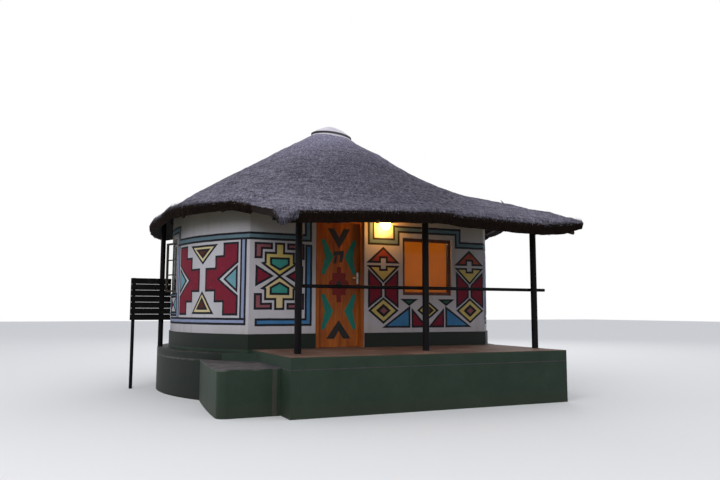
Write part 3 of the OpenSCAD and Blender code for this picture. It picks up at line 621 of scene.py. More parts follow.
def roundSection(way, turn, rows):
    # over the roof from the cap's foot to the eave, down the cut and back underneath
    lap = lapEdge(way)
    first, last = leftEnd["reachTurns"]
    reach = leftEnd["reach"] * ease((turn % 360 - first) / 15) * ease((last - turn % 360) / 8)
    edge = lap or roof["eave"] + reach + 0.010 * noise.noise(way * 9)
    section = []
    for j in range(rows + 1):
        far = roof["inner"] + (edge - roof["inner"]) * j / rows
        across, along = way.x * far, way.y * far
        high = roofTop(across, along)
        over = 0.0 if lap else held(1 - (edge - far) / thatch["round"])
        high -= sunk(across, along, high) + thatch["round"] * (1 - math.sqrt(1 - over * over))
        # as the eave turns over, it takes part of the painted shade
        section.append(((across, along, high), (way.x * 3, way.y * 3, far * roof["slant"]), 0.6 * over))
    endTop = section[-1][0][2]
    outer = edge - thatch["cutBack"]
    low = min(endTop - thatch["cut"], thatch["cutFoot"])
    if lap:
        outer, low = edge - 0.02, endTop - 0.08
    # down the cut, in full painted shade unless the veranda's sheet covers it
    for j in range(1, thatch["cutRows"] + 1):
        part = j / thatch["cutRows"]
        far = edge + (outer - edge) * part
        far += 0.0 if lap else 0.008 * noise.noise(Vector((way.x * 40, way.y * 40, j)))
        high = endTop + (low - endTop) * part
        lay = (way.x * 3, way.y * 3, far * roof["slant"] + part * 0.2)
        section.append(((way.x * far, way.y * far, high), lay, 0.0 if lap else 1.0))
    # back underneath, in full painted shade
    for j in range(1, thatch["underRows"] + 1):
        far = outer + (roof["inner"] - outer) * j / thatch["underRows"]
        high = roof["top"] - roof["fall"] * far - roof["thick"]
        if lap and onSheet(way.x * far, way.y * far):
            high = max(high, sheetAt(way.x * far, way.y * far) - 0.10)
        elif far > thatch["soffit"]:
            foot = roof["top"] - roof["fall"] * thatch["soffit"] - roof["thick"]
            high = foot + (low - foot) * (far - thatch["soffit"]) / (outer - thatch["soffit"])
        lay = (way.x * 3, way.y * 3, far * roof["slant"])
        section.append(((way.x * far, way.y * far, high), lay, 1.0))
    return section, lap is None


def conePlan(first, last):
    count = int(math.radians(last - first) * roof["eave"] / thatch["column"])
    rows = int((roof["eave"] - roof["inner"]) / thatch["row"])
    turns = [first + (last - first) * i / count for i in range(count + 1)]
    built = []
    for turn in turns:
        way = Vector((math.cos(math.radians(turn)), math.sin(math.radians(turn)), 0))
        built.append(roundSection(way, turn, rows))
    return [section for section, _ in built], rows, [i for i, (_, free) in enumerate(built) if free]


def sheetSection(across, rows):
    # the veranda's roof at one place across it, from the wall to the eave and back underneath
    rag = 0.014 * noise.noise(Vector((across * 3, 0, 7))) + 0.008 * noise.noise(Vector((across * 11, 4, 7)))
    edge = roof["front"] + 0.035 + rag
    back = roof["back"] - 0.01
    lip = np.interp(across, lips["across"], lips["drop"]) + 0.006 * noise.noise(Vector((across * 5, 1, 3)))
    ends = held(1 - min(across - roof["left"], roof["right"] - across) / 0.03)
    ends = (0.02 if across < 0 else 0.005) * (1 - math.sqrt(1 - ends * ends))
    tops = []
    section = []
    for j in range(rows + 1):
        along = back + (edge - back) * j / rows
        cone, _ = coneTop(across, along)
        far = math.hypot(across, along)
        high = roofTop(across, along)
        hidden = ease((cone - sheetAt(across, along) + 0.02) / 0.05) * ease((roof["eave"] - far) / 0.10)
        run = held(1 - (along - edge) / thatch["lipRun"])
        over = held(1 - (along - edge) / thatch["round"])
        if across > roof["left"] + 0.11:
            high = max(high, sheetPlane(across, along) - roof["sheetThick"] + 0.045)
        high += 0.035 * ease((-2.7 - along) / 0.6) * ease((across - 1.9) / 0.7)
        high -= sunk(across, along, high) + lip * run * run + 0.045 * hidden + ends
        high -= thatch["round"] * (1 - math.sqrt(1 - over * over))
        tops.append((along, high))
        lay = (across, 50.0, -along * roof["sheetSlant"])
        # the turned-over lip and the rolled ends take painted shade
        section.append(((across, along, high), lay, max(0.6 * over, ends * 20)))
    endTop = section[-1][0][2]
    cut = float(np.interp(across, lips["cutAcross"], lips["cut"]))
    # the cut and the underside are in full painted shade
    for j in range(1, thatch["cutRows"] + 1):
        part = j / thatch["cutRows"]
        along = edge + thatch["cutBack"] * part + 0.006 * noise.noise(Vector((across * 12, j, 2)))
        section.append(((across, along, endTop - cut * part), (across, 50.0, -along + part * 0.2), 1.0))
    outer = edge + thatch["cutBack"]
    for j in range(1, thatch["underRows"] + 1):
        along = outer + (back - outer) * (j / thatch["underRows"]) ** 1.5
        base = sheetPlane(across, along) - roof["sheetThick"]
        spot = min(tops, key=lambda top: abs(top[0] - along))
        if across < roof["left"] + 0.13:
            base = min(base, spot[1] - 0.115 + ends)
        base += (endTop - cut - base) * (1 - ease((along - outer) / 0.12))
        section.append(((across, along, base), (across, 50.0, -along * roof["sheetSlant"]), 1.0))
    return section


def sheetPlan():
    left, right = roof["left"] + 0.004, roof["right"] - 0.004
    count = int((right - left) / thatch["column"])
    rows = int((roof["back"] - roof["front"]) / thatch["row"])
    spots = [left + (right - left) * i / count for i in range(count + 1)]
    spots = [left, left + 0.005, left + 0.015] + spots[1:-1] + [right - 0.015, right - 0.005, right]
    built = [sheetSection(across, rows) for across in spots]
    # the side face at the left is painted dark as shade, like the cut
    side = [((place[0] - 0.0003, *place[1:]), lay, 1.0) for place, lay, _ in built[0]]
    return [side] + built, rows


# one straw is a three-sided spike, its thick end down the roof; the others are copies of it
bpy.ops.object.select_all(action="DESELECT")
bpy.ops.mesh.primitive_cone_add(vertices=3, radius1=0.5, radius2=0, depth=1)
spike = bpy.context.object
spikeShape = np.array([vertex.co[:] for vertex in spike.data.vertices]) + (0, 0, 0.5)
spikeFaces = [tuple(face.vertices) for face in spike.data.polygons]
bpy.data.objects.remove(spike)


def unit(values):
    return values / (np.linalg.norm(values, axis=1)[:, None] + 1e-9)


def strawPiece(name, butts, alongs, outs, lengths, widths, lays, unders, shades):
    count, size = len(butts), len(spikeShape)
    cross = unit(np.cross(outs, alongs))
    outs = unit(np.cross(alongs, cross))
    points = butts[:, None, :] + spikeShape[None, :, 0:1] * (cross * widths[:, None])[:, None, :]
    points += spikeShape[None, :, 1:2] * (outs * widths[:, None])[:, None, :]
    points -= spikeShape[None, :, 2:3] * (alongs * lengths[:, None])[:, None, :]
    mesh = bpy.data.meshes.new(name)
    mesh.vertices.add(count * size)
    mesh.vertices.foreach_set("co", points.ravel())
    corners = np.concatenate([np.array(face) for face in spikeFaces])
    starts = np.cumsum([0] + [len(face) for face in spikeFaces])[:-1]
    mesh.loops.add(count * len(corners))
    mesh.loops.foreach_set("vertex_index", (corners + np.arange(count)[:, None] * size).ravel())
    mesh.polygons.add(count * len(starts))
    mesh.polygons.foreach_set("loop_start", (starts + np.arange(count)[:, None] * len(corners)).ravel())
    mesh.update(calc_edges=True)
    layers = [("lay", "FLOAT_VECTOR", "vector", lays)]
    layers += [("under", "FLOAT", "value", unders), ("shade", "FLOAT", "value", shades)]
    for attribute, kind, part, values in layers:
        layer = mesh.attributes.new(attribute, kind, "POINT")
        layer.data.foreach_set(part, np.repeat(values, size, axis=0).ravel())
    piece = bpy.data.objects.new(name, mesh)
    bpy.context.collection.objects.link(piece)
    mesh.materials.append(straw)
    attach(piece, "hut")
    return piece


def toneOf(dice, places):
    # most straws are grey; the pale and the dark ones lie in tufts
    tufts = np.array([noise.noise(Vector(place) * 26.0) for place in places])
    return np.clip(dice.normal(0.5, 0.16, len(places)) + 0.45 * tufts, 0.02, 0.98)


def coverCoat(name, table, rows, seed, hidden):
    dice = np.random.default_rng(seed)
    grid = table[:, :rows + 1]
    around = grid[1:, :-1, 0:3] - grid[:-1, :-1, 0:3]
    down = grid[:-1, 1:, 0:3] - grid[:-1, :-1, 0:3]
    cells = np.linalg.norm(np.cross(around, down), axis=2)
    count = int(cells.sum() * thatch["perSquare"])
    chosen = dice.choice(cells.size, size=count, p=(cells / cells.sum()).ravel())
    column, row = np.unravel_index(chosen, cells.shape)
    partA, partB = dice.random((count, 1)), dice.random((count, 1))
    top = grid[column, row] * (1 - partA) + grid[column + 1, row] * partA
    low = grid[column, row + 1] * (1 - partA) + grid[column + 1, row + 1] * partA
    whole = top * (1 - partB) + low * partB
    keep = np.array([not hidden(place) for place in whole[:, 0:3]])
    whole, around, down = whole[keep], unit(around[column, row][keep]), unit(down[column, row][keep])
    count = len(whole)
    out = unit(np.cross(around, down))
    out *= np.sign(out[:, 2:3])
    lengths, widths = dice.uniform(*thatch["straw"], count), dice.uniform(*thatch["strawWidth"], count)
    swing, raised = dice.normal(0, 0.22, (count, 1)), dice.uniform(0.0, 0.05, (count, 1))
    along = (down * np.cos(swing) + around * np.sin(swing)) * np.cos(raised) + out * np.sin(raised)
    butts = whole[:, 0:3] + out * (np.sin(raised) * lengths[:, None] * 0.5 + 0.001)
    shades = toneOf(dice, whole[:, 0:3])
    # straws on the turned-over eave take part of its painted shade
    strawPiece(name, butts, along, out, lengths, widths, whole[:, 3:6], whole[:, 6] * 0.6, shades)
    return count


def fringeCoat(name, edge, lower, inner, seed, perMetre):
    # short straws that stand out of the cut, pale at its lip and in painted shade lower down
    dice = np.random.default_rng(seed)
    steps = np.linalg.norm(np.diff(edge[:, 0:3], axis=0), axis=1)
    steps[steps > 0.2] = 0
    count = int(steps.sum() * perMetre)
    column = dice.choice(len(steps), size=count, p=steps / steps.sum())
    part, depth = dice.random((count, 1)), dice.random((count, 1)) ** 0.8
    whole = edge[column] * (1 - part) + edge[column + 1] * part
    foot = lower[column, 0:3] * (1 - part) + lower[column + 1, 0:3] * part
    down = unit(edge[column, 0:3] - inner[column, 0:3])
    side = unit(edge[column + 1, 0:3] - edge[column, 0:3])
    swing, droop = dice.normal(0, 0.3, (count, 1)), dice.uniform(0.0, 0.35, (count, 1))
    along = unit(down * np.cos(swing) + side * np.sin(swing) - np.array((0, 0, 1)) * droop * (1 - depth))
    proud = 0.002 + 0.018 * dice.random((count, 1)) ** 3
    butts = whole[:, 0:3] + (foot - whole[:, 0:3]) * depth + along * proud
    out = unit(np.cross(side, along))
    out *= np.sign(out[:, 2:3] + 1e-6)
    keep = (butts[:, 1] > roof["front"] + 0.002) & (butts[:, 1] < roof["rim"] - 0.004)
    keep &= (butts[:, 0] > thatch["leftmost"]) & (butts[:, 0] < roof["rim"] - 0.004)
    whole, butts, along, out, depth = whole[keep], butts[keep], along[keep], out[keep], depth[keep, 0]
    count = len(butts)
    lengths, widths = dice.uniform(0.05, 0.09, count), dice.uniform(0.007, 0.012, count)
    # the deeper a straw stands in the cut, the more painted shade it takes
    unders = np.clip(depth * 3, 0, 1)
    strawPiece(name, butts, along, out, lengths, widths, whole[:, 3:6], unders, toneOf(dice, butts))
    return count


def besideCap(place):
    return place[0] ** 2 + place[1] ** 2 < thatch["bare"] ** 2


def underCone(place):
    if math.hypot(place[0], place[1]) > roof["eave"] - 0.02:
        return False
    return coneTop(place[0], place[1])[0] > sheetAt(place[0], place[1]) + 0.01


wedges = [
    ("thatchLeft", "thatch_left", 150, 180 + frontTurn, 11), ("thatchBack", "thatch_back", 30, 150, 12),
    ("thatchRight", "thatch_right", -90, 30, 13), ("thatchFront", "thatch_front", 180 + frontTurn, 270, 14),
]
total = 0
for name, node, first, last, seed in wedges:
    columns, rows, free = conePlan(first, last)
    table = wrapCoat(name + "Coat", node, columns)
    total += coverCoat(name + "Straws", table, rows, seed, besideCap)
    edge, lower, inner = (table[free][:, rows + shift] for shift in (0, thatch["cutRows"], -6))
    total += fringeCoat(name + "Fringe", edge, lower, inner, seed + 20, thatch["eavePerMetre"])
columns, rows = sheetPlan()
table = wrapCoat("thatchVerandaCoat", "veranda_thatch", columns)
total += coverCoat("thatchVerandaStraws", table, rows, 15, underCone)
edge, lower, inner = (table[:, rows + shift] for shift in (0, thatch["cutRows"], -6))
total += fringeCoat("thatchVerandaFringe", edge, lower, inner, 35, thatch["frontPerMetre"])
verge = table[3, 16:rows + 1]
lower, inner = verge[:, 0:3] - (0, 0, 0.07), table[7, 16:rows + 1]
total += fringeCoat("thatchVergeFringe", verge, lower, inner, 36, thatch["frontPerMetre"])

# a tuft hangs from the left corner
tuft = {
    "count": 420, "drop": (0.0, 0.10), "length": (0.07, 0.12), "width": (0.008, 0.013), "spread": 0.16,
    "scatter": 0.006, "darker": 0.05,
}
dice = np.random.default_rng(41)
count = tuft["count"]
path = np.concatenate([table[3, rows - 10:rows + 1], table[4:11, rows]])
part = dice.random((count, 1)) * (len(path) - 1)
lower = part[:, 0].astype(int)
whole = path[lower] * (1 - part % 1) + path[lower + 1] * (part % 1)
butts = whole[:, 0:3] - dice.uniform(*tuft["drop"], (count, 1)) * (0, 0, 1)
butts += dice.normal(0, tuft["scatter"], (count, 3))
butts[:, 1] = np.maximum(butts[:, 1], roof["front"] + 0.008)
alongs = unit(dice.normal(0, tuft["spread"], (count, 3)) - (0, 0, 1))
outs = np.tile((-0.6, -0.8, 0.0), (count, 1))
lengths, widths = dice.uniform(*tuft["length"], count), dice.uniform(*tuft["width"], count)
shades = np.clip(toneOf(dice, butts) - tuft["darker"], 0, 0.98)
# some tuft straws take a little of the painted shade
unders = dice.uniform(0, 0.12, count)
strawPiece("thatchTuft", butts, alongs, outs, lengths, widths, whole[:, 3:6], unders, shades)
total += count
print("thatch laid,", total, "straws")

# poles of the roof: knotty, a little crooked, and cut off under the eave
# the crook and the paint's wobble differ by a few mm each run, as noise_vector starts from the clock
pole = {
    "radius": 0.043, "sides": 14, "rings": 22, "reach": 3.10, "knot": 0.004, "crook": 0.006, "worn": 0.004,
}


def looseParts(name):
    # the separate solids of a node, as points
    mesh, keys = nodes[name].data, {}
    spots = [tuple(round(value, 4) for value in vertex.co) for vertex in mesh.vertices]
    index = [keys.setdefault(spot, len(keys)) for spot in spots]
    parent = list(range(len(keys)))

    def root(number):
        while parent[number] != number:
            number = parent[number]
        return number

    for edge in mesh.edges:
        parent[root(index[edge.vertices[0]])] = root(index[edge.vertices[1]])
    groups = {}
    for key, number in keys.items():
        groups.setdefault(root(number), []).append(key)
    return [np.array(group) for group in groups.values()]


def longWay(points):
    middle = points.mean(axis=0)
    way = np.linalg.svd(points - middle)[2][0]
    spread = (points - middle) @ way
    return Vector(middle + way * spread.min()), Vector(middle + way * spread.max())


def polePart(start, end, radius, seed):
    length = (end - start).length
    bpy.ops.object.select_all(action="DESELECT")
    bpy.ops.mesh.primitive_cylinder_add(vertices=pole["sides"], radius=radius, depth=length)
    part = bpy.context.object
    bpy.ops.object.mode_set(mode="EDIT")
    for cut in range(1, pole["rings"]):
        bpy.ops.mesh.select_all(action="SELECT")
        bpy.ops.mesh.bisect(plane_co=(0, 0, length * (cut / pole["rings"] - 0.5)), plane_no=(0, 0, 1))
    bpy.ops.object.mode_set(mode="OBJECT")
    turn = Vector((0, 0, 1)).rotation_difference(end - start)
    for vertex in part.data.vertices:
        spot = vertex.co.copy()
        knots = noise.noise(Vector((spot.x * 9, spot.y * 9, spot.z * 5 + seed * 7)))
        ends = pole["worn"] if abs(spot.z) > length / 2 - 0.0001 else 0.0
        swell = 1 + pole["knot"] / radius * knots - ends / radius
        bend = noise.noise_vector(Vector((0, seed * 3, spot.z * 0.9))) * pole["crook"]
        spot = Vector((spot.x * swell + bend.x, spot.y * swell + bend.y, spot.z))
        vertex.co = turn @ spot + (start + end) / 2
    return part


def gathered(name, parts, finish, node=None):
    bpy.ops.object.select_all(action="DESELECT")
    for part in parts:
        part.select_set(True)
    bpy.context.view_layer.objects.active = parts[0]
    bpy.ops.object.join()
    piece = bpy.context.object
    piece.name = name
    bpy.ops.object.transform_apply(location=True, rotation=True, scale=True)
    bpy.ops.object.shade_smooth_by_angle(angle=math.radians(40))
    piece.data.materials.clear()
    piece.data.materials.append(finish)
    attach(piece, "hut")
    if node:
        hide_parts(node)
    return piece


parts = []
for seed, points in enumerate(looseParts("main_rafters")):
    start, end = sorted(longWay(points), key=lambda spot: spot.z, reverse=True)
    far, near = end.to_2d().length, start.to_2d().length
    end = start.lerp(end, min(1.0, (pole["reach"] - near) / (far - near)))
    parts.append(polePart(start, end, pole["radius"], seed))
gathered("roofRafters", parts, roofPole, "main_rafters")
print("rafters cut")

# the cement cap: a skirt on the thatch, a stained rim, and a small dome
capProfile = np.array([
    (0.00, 0.000, 5.135), (0.08, 0.060, 5.130), (0.17, 0.130, 5.108), (0.24, 0.185, 5.085),
    (0.31, 0.240, 5.060), (0.41, 0.320, 5.010), (0.49, 0.380, 4.965), (0.54, 0.410, 4.949),
    (0.57, 0.415, 4.935), (0.61, 0.412, 4.918), (0.65, 0.398, 4.910), (0.69, 0.410, 4.895),
    (0.74, 0.430, 4.870), (0.79, 0.450, 4.845), (0.85, 0.420, 4.800), (1.00, 0.000, 4.830),
])
bpy.ops.object.select_all(action="DESELECT")
bpy.ops.mesh.primitive_uv_sphere_add(segments=80, ring_count=60, radius=1)
cap = bpy.context.object
cap.name = "cementCap"
# each row of the profile: the share of the way from pole to pole, the distance from the axis, the height
stops, fars, highs = capProfile.T
for vertex in cap.data.vertices:
    spot = vertex.co.copy()
    down = math.acos(max(-1.0, min(1.0, spot.z))) / math.pi
    far, high = np.interp(down, stops, fars), np.interp(down, stops, highs)
    way = Vector((spot.x, spot.y)).normalized() if spot.to_2d().length > 0.0001 else Vector((0, 0))
    far *= 1 + 0.03 * noise.noise(Vector((way.x * 1.4, way.y * 1.4, 2)))
    tilt = capTilt["drop"] * far / capTilt["far"] * held((high - 4.80) / 0.06)
    high -= tilt * (capTilt["way"][0] * way.x + capTilt["way"][1] * way.y)
    high += 0.006 * noise.noise(Vector((way.x * far * 9, way.y * far * 9, 1)))
    vertex.co = (way.x * far, way.y * far, min(high, 5.136))
bpy.ops.object.shade_smooth_by_angle(angle=math.radians(50))
cap.data.materials.append(capCement)
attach(cap, "hut")
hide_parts("roof_cap")

# glazing bars in the casements: one upright and two across
bar = {"width": 0.022, "depth": 0.018, "stile": 0.045}
parts = []
for points in looseParts("side_window_sashes"):
    low, high = points[:, 2].min() + bar["stile"], points[:, 2].max() - bar["stile"]
    plan = points[:, 0:2] - points[:, 0:2].mean(axis=0)
    way = np.linalg.svd(plan)[2][0]
    reach = (plan @ way).max() - bar["stile"]
    turn = math.atan2(way[1], way[0])
    middle = Vector((*points[:, 0:2].mean(axis=0), (low + high) / 2))
    across = (2 * reach, bar["depth"], bar["width"])
    for share, size in ((0, (bar["width"], bar["depth"], high - low)), (-1 / 6, across), (1 / 6, across)):
        place = middle + Vector((0, 0, (high - low) * share))
        bpy.ops.mesh.primitive_cube_add(size=1, location=place, rotation=(0, 0, turn), scale=size)
        parts.append(bpy.context.object)
bars = gathered("casementBars", parts, sideWood)
bars.modifiers.new("soft", "BEVEL").width = 0.003
bpy.ops.object.modifier_apply(modifier="soft")
print("cap and window bars made")

# painted patterns
paintSet = {"line": 0.036, "coat": 0.0012, "cell": 0.11, "wobble": 0.0035}
leafFace = -2.015


def paintFinish(name, colour, worn, roughness=0.75):
    finish, tree, shader = newFinish(name + "Paint", roughness)
    brush = grain(tree, 5, detail=5, rough=0.6)
    chip = grain(tree, 26, detail=4, rough=0.7)
    tone = mix(tree, step(tree, brush, 0.35, 0.75), srgb(*colour), srgb(*worn))
    coloured(tree, shader, veil(tree, tone, chip, 0.66, 0.74, 0.35, outside))
    plasterBumps(tree, shader)
    return finish


wallPaints = {
    "line": ((14, 14, 24), (24, 22, 32)), "wine": ((136, 30, 56), (120, 26, 46)),
    "red": ((164, 68, 60), (184, 92, 76)), "pink": ((160, 98, 106), (146, 86, 94)),
    "yellow": ((224, 200, 112), (234, 214, 146)), "sand": ((238, 216, 168), (228, 204, 150)),
    "teal": ((62, 156, 148), (78, 168, 158)), "ice": ((124, 176, 190), (108, 160, 176)),
    "sky": ((160, 172, 208), (144, 158, 196)), "slate": ((116, 144, 158), (100, 130, 146)),
    "blue": ((78, 142, 196), (62, 124, 178)), "cream": ((240, 224, 178), (228, 208, 160)),
    "brown": ((92, 38, 26), (74, 30, 22)), "green": ((40, 110, 84), (30, 92, 72)),
}
leafPaints = {
    "black": ((20, 20, 22), (34, 30, 28)), "jade": ((20, 128, 118), (34, 146, 130)),
    "blood": ((132, 26, 22), (112, 22, 20)),
}
paints = {name: paintFinish(name, *tones) for name, tones in wallPaints.items()}
paints |= {name: paintFinish(name, *tones, 0.5) for name, tones in leafPaints.items()}


def grown(points, by):
    points = [Vector(point) for point in points]
    count = len(points)
    area = sum(points[i - 1].x * points[i].y - points[i].x * points[i - 1].y for i in range(count))
    if area < 0:
        points.reverse()
    result = []
    for i in range(count):
        before = (points[i] - points[i - 1]).normalized()
        after = (points[(i + 1) % count] - points[i]).normalized()
        out = Vector((before.y + after.y, -before.x - after.x)).normalized()
        reach = by / max(out.dot(Vector((before.y, -before.x))), 0.33)
        result.append(points[i] + out * reach)
    return result


def strip(points, width):
    points = [Vector(point) for point in points]
    sides = ([], [])
    for i, point in enumerate(points):
        before = (point - points[i - 1]).normalized() if i else (points[1] - point).normalized()
        after = (points[i + 1] - point).normalized() if i + 1 < len(points) else before
        out = Vector((before.y + after.y, -before.x - after.x)).normalized()
        reach = width / 2 / out.dot(Vector((before.y, -before.x)))
        sides[0].append(point + out * reach)
        sides[1].append(point - out * reach)
    return sides[0] + sides[1][::-1]


def mirrored(points):
    return [(-across, up) for across, up in points]


def upended(points, middle):
    return [(across, 2 * middle - up) for across, up in points]


def fullShape(half):
    # the other half mirrors this one, and points on the middle line stay single
    return half + [(-across, up) for across, up in reversed(half) if across != 0]


def diamond(middle, across, up):
    return [(-across, middle), (0, middle - up), (across, middle), (0, middle + up)]


def shifted(points, across, up=0.0):
    return [(point[0] + across, point[1] + up) for point in points]


def paintPiece(name, finish, shapes, put, coats, body="hut"):
    bpy.ops.object.select_all(action="DESELECT")
    for points in shapes:
        curve = bpy.data.curves.new(name, "CURVE")
        curve.dimensions = "2D"
        curve.fill_mode = "BOTH"
        curve.extrude = paintSet["coat"]
        spline = curve.splines.new("POLY")
        spline.points.add(len(points) - 1)
        for place, point in zip(spline.points, points):
            place.co = (point[0], point[1], 0, 1)
        spline.use_cyclic_u = True
        part = bpy.data.objects.new(name, curve)
        bpy.context.collection.objects.link(part)
        part.select_set(True)
        bpy.context.view_layer.objects.active = part
    bpy.ops.object.convert(target="MESH")
    if len(shapes) > 1:
        bpy.ops.object.join()
    piece = bpy.context.object
    piece.name = name
    corners = np.array([v.co[:] for v in piece.data.vertices])
    bpy.ops.object.mode_set(mode="EDIT")
    bpy.ops.mesh.select_all(action="SELECT")
    bpy.ops.mesh.remove_doubles(threshold=0.0002)
    for axis in (0, 1):
        low, high = corners[:, axis].min(), corners[:, axis].max()
        normal = (1, 0, 0) if axis == 0 else (0, 1, 0)
        for cut in range(1, int((high - low) / paintSet["cell"]) + 1):
            bpy.ops.mesh.select_all(action="SELECT")
            there = [0, 0, 0]
            there[axis] = low + cut * paintSet["cell"]
            bpy.ops.mesh.bisect(plane_co=there, plane_no=normal)
    bpy.ops.object.mode_set(mode="OBJECT")
    for vertex in piece.data.vertices:
        spot = vertex.co.copy()
        wave = noise.noise_vector(Vector((spot.x * 6, spot.y * 6, 3))) * paintSet["wobble"]
        depth = (coats * 2 - 1) * paintSet["coat"] if spot.z > 0 else -paintSet["coat"]
        vertex.co = put(spot.x + wave.x, spot.y + wave.y, depth)
    piece.data.materials.clear()
    piece.data.materials.append(finish)
    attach(piece, body)
    return piece


def onFront(across, up, depth):
    return Vector((across, wall["front"] - depth, wall["foot"] + up))


def onRound(across, up, depth):
    angle = across / wall["radius"]
    radius = wall["radius"] + depth
    return Vector((radius * math.cos(angle), radius * math.sin(angle), wall["foot"] + up))


def onLeaf(across, up, depth):
    return Vector((across, leafFace - depth, wall["foot"] + up))


def paintPanel(title, figures, put, ends):
    # bands that reach the corners of the walls stop there without an outline
    half = paintSet["line"] / 2
    layers = {}
    for colour, level, points in figures:
        for coat, by in (("line", half), (colour, -half)):
            shape = [(min(max(point.x, ends[0]), ends[1]), point.y) for point in grown(points, by)]
            layers.setdefault((coat, level), []).append(shape)
    for (colour, level), shapes in layers.items():
        coats = 2 * level + (0 if colour == "line" else 1) + 1
        name = title + colour.capitalize() + (str(level) if level else "")
        paintPiece(name, paints[colour], shapes, put, coats)


# figures on the flat front wall: left of the door
middle, waist = -1.707, 1.16
upper = [(0.068, 1.684), (0.068, 1.53), (0.235, 1.53), (0.235, 1.372), (0.280, 1.360), (0.012, 1.175)]
upper = fullShape(upper)
shield = fullShape([(0.147, 1.446), (0.147, 1.348), (0, 1.268)])
corner = [(-0.403, 1.68), (-0.138, 1.68), (-0.138, 1.605), (-0.303, 1.605), (-0.303, 1.452), (-0.403, 1.452)]
wedge = [(-0.383, 1.306), (-0.128, 1.161), (-0.383, 1.017)]
frontFigures = []
for flip in (False, True):
    for colour, level, points in (("sand" if flip else "yellow", 0, upper), ("teal", 1, shield)):
        points = upended(points, waist) if flip else points
        frontFigures.append((colour, level, shifted(points, middle)))
    points = upended(corner, waist) if flip else corner
    frontFigures += [("pink", 0, shifted(side, middle)) for side in (points, mirrored(points))]
    frontFigures.append(("wine", 0, shifted(mirrored(wedge) if flip else wedge, middle)))
frontFigures.append(("blue", 0, strip([(-2.087, 0.424), (-1.2145, 0.424), (-1.2145, 1.672)], 0.088)))

# right of the door: a totem on each side of the window
column = [(-0.273, 1.285), (-0.038, 1.07), (-0.038, 0.86), (-0.273, 0.687)]
totem = [
    ("red", 0, fullShape([(0, 1.687), (-0.276, 1.445), (-0.066, 1.445), (-0.066, 1.528)])),
    ("yellow", 0, fullShape([(0, 1.11), (-0.276, 1.37), (-0.066, 1.37), (-0.066, 1.309)])),
    ("yellow", 0, diamond(0.614, 0.262, 0.205)), ("line", 1, diamond(0.614, 0.112, 0.092)),
    ("pink", 2, diamond(0.614, 0.100, 0.082)), ("wine", 0, column), ("wine", 0, mirrored(column)),
]
for middle in (0.15, 1.90):
    frontFigures += [(colour, level, shifted(points, middle)) for colour, level, points in totem]

# under the window
middle = 1.025
low = [
    ("blue", 0, [(-0.851, 0.336), (-0.372, 0.665), (-0.372, 0.336)]),
    ("green", 0, [(-0.50, 0.80), (-0.25, 0.80), (-0.375, 0.715)]),
    ("wine", 0, [(-0.31, 0.336), (-0.31, 0.62), (-0.04, 0.336)]),
]
for colour, level, points in low:
    frontFigures += [(colour, level, shifted(side, middle)) for side in (points, mirrored(points))]
frontFigures.append(("yellow", 0, shifted(diamond(0.62, 0.19, 0.145), middle)))
frontFigures.append(("brown", 1, shifted(diamond(0.62, 0.09, 0.07), middle)))

# one band runs over the door and round the window
bandWidth = 0.089
band = [(-2.30, 1.798), (-1.2245, 1.798), (-1.2245, 2.245), (-0.083, 2.245), (-0.083, 1.800)]
band += [(0.404, 1.800), (0.404, 2.030), (1.657, 2.030), (1.657, 1.798), (2.30, 1.798)]
frontFigures.append(("slate", 0, strip(band, bandWidth)))
paintPanel("front", frontFigures, onFront, (-wall["corner"], wall["corner"]))
print("front wall painted")

# figures on the round wall, measured along it from each panel's middle
wineHalf = [
    (0.515, 0.575), (0.515, 0.37), (0.335, 0.37), (0.335, 0.175), (0.095, 0.175), (0.095, -0.18),
    (0.32, -0.18), (0.32, -0.355), (0.515, -0.355), (0.515, -0.565), (0.795, -0.565), (0.795, -0.275),
    (0.395, 0), (0.795, 0.27), (0.795, 0.575),
]
iceHalf = [(0.535, 0), (0.785, 0.19), (0.785, -0.19)]
bowTie = [
    ("wine", 0, wineHalf), ("wine", 0, mirrored(wineHalf)),
    ("ice", 0, iceHalf), ("ice", 0, mirrored(iceHalf)),
    ("cream", 0, [(-0.325, 0.56), (0.325, 0.56), (0, 0.276)]),
    ("brown", 1, [(-0.15, 0.495), (0.15, 0.495), (0, 0.375)]),
    ("cream", 0, [(-0.265, -0.547), (0.265, -0.547), (0, -0.212)]),
    ("brown", 1, [(-0.12, -0.475), (0.12, -0.475), (0, -0.315)]),
    ("sky", 0, strip([(0.9065, -0.638), (0.9065, 0.641)], 0.083)),
    ("sky", 0, strip([(-0.925, -0.638), (-0.925, 0.641)], 0.115)),
]
radius = wall["radius"]
roundFigures = []
for azimuth in (204.5, -24.5, 13.2, 84, 136.5):
    here = math.radians(azimuth) * radius
    roundFigures += [(colour, level, shifted(points, here, 1.112)) for colour, level, points in bowTie]
panelEnd = 0.9065 + 0.0415
leftStart = math.radians(-136.33) * radius
rightEnd = math.radians(-43.67) * radius
full = 2 * math.pi * radius
lowBand = [(math.radians(-24.5) * radius - panelEnd, 0.434), (math.radians(204.5) * radius + panelEnd, 0.434)]
roundFigures.append(("sky", 0, strip(lowBand, 0.080)))
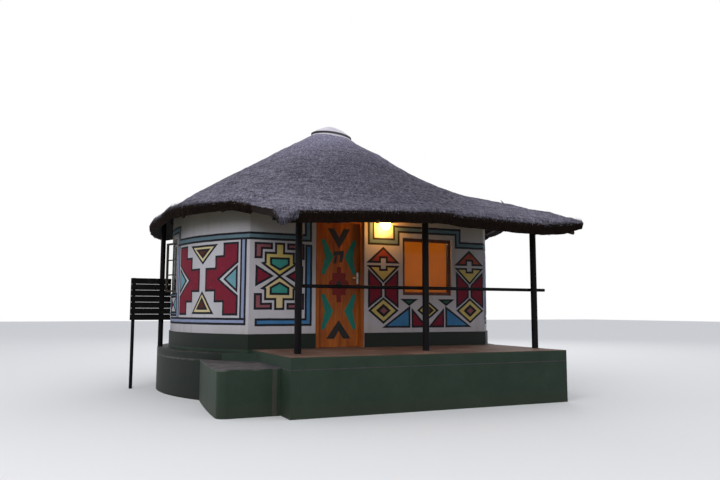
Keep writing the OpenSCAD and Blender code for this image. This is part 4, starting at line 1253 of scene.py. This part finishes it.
# the upper band steps up over each side window
topBand = [(rightEnd - 0.1, 1.7975)]
for first, last in ((33, 57), (163.5, 187.5)):
    first, last = math.radians(first) * radius, math.radians(last) * radius
    topBand += [(first, 1.7975), (first, 2.030), (last, 2.030), (last, 1.7975)]
topBand.append((leftStart + full + 0.1, 1.7975))
roundFigures.append(("slate", 0, strip(topBand, 0.089)))
# two hourglasses under each side window
glass = [(-0.25, 0.84), (-0.25, 0.585), (-0.02, 0.7125)]
sill = [("wine", 0, glass), ("ice", 0, mirrored(glass))]
sill += [("slate", 0, strip([(-0.27, up), (0.27, up)], 0.05)) for up in (0.875, 0.55)]
for azimuth in (39.5, 50.5, 170, 181):
    here = math.radians(azimuth) * radius
    roundFigures += [(colour, level, shifted(points, here)) for colour, level, points in sill]
paintPanel("round", roundFigures, onRound, (rightEnd, leftStart + full))
print("round wall painted")

# door leaf
leafMiddle = -0.640
chevron = [(-0.318, 1.80), (-0.258, 1.80), (-0.100, 1.515), (-0.258, 1.215), (-0.318, 1.215), (-0.250, 1.515)]
chevrons = [chevron, mirrored(chevron)]
smallFigure = [
    (-0.10, 1.60), (0.085, 1.62), (0.085, 1.55), (0.055, 1.42), (0.005, 1.42), (0.02, 1.545), (-0.035, 1.54),
    (-0.05, 1.40), (-0.10, 1.40), (-0.07, 1.535), (-0.10, 1.53),
]
cross = fullShape([
    (0.04, 1.34), (0.04, 1.24), (0.12, 1.24), (0.12, 1.13), (0.18, 1.09), (0.18, 1.0), (0.12, 0.96),
    (0.12, 0.87), (0.04, 0.87), (0.04, 0.75),
])
doorFigures = {
    "black": [
        fullShape([(0, 1.655), (-0.207, 1.99), (-0.085, 1.995), (0, 1.84)]), smallFigure,
        fullShape([(0, 0.455), (0.22, 0.143), (0.078, 0.143), (0, 0.275)]),
    ],
    "jade": chevrons + [shifted(points, 0, -0.915) for points in chevrons],
    "blood": [cross],
}
for colour, shapes in doorFigures.items():
    shapes = [shifted(points, leafMiddle) for points in shapes]
    paintPiece("leaf" + colour.capitalize(), paints[colour], shapes, onLeaf, 1, "door")
core = [shifted(diamond(1.045, 0.06, 0.075), leafMiddle)]
paintPiece("leafCore", paints["black"], core, onLeaf, 2, "door")
print("door painted")

bpy.ops.object.select_all(action="DESELECT")
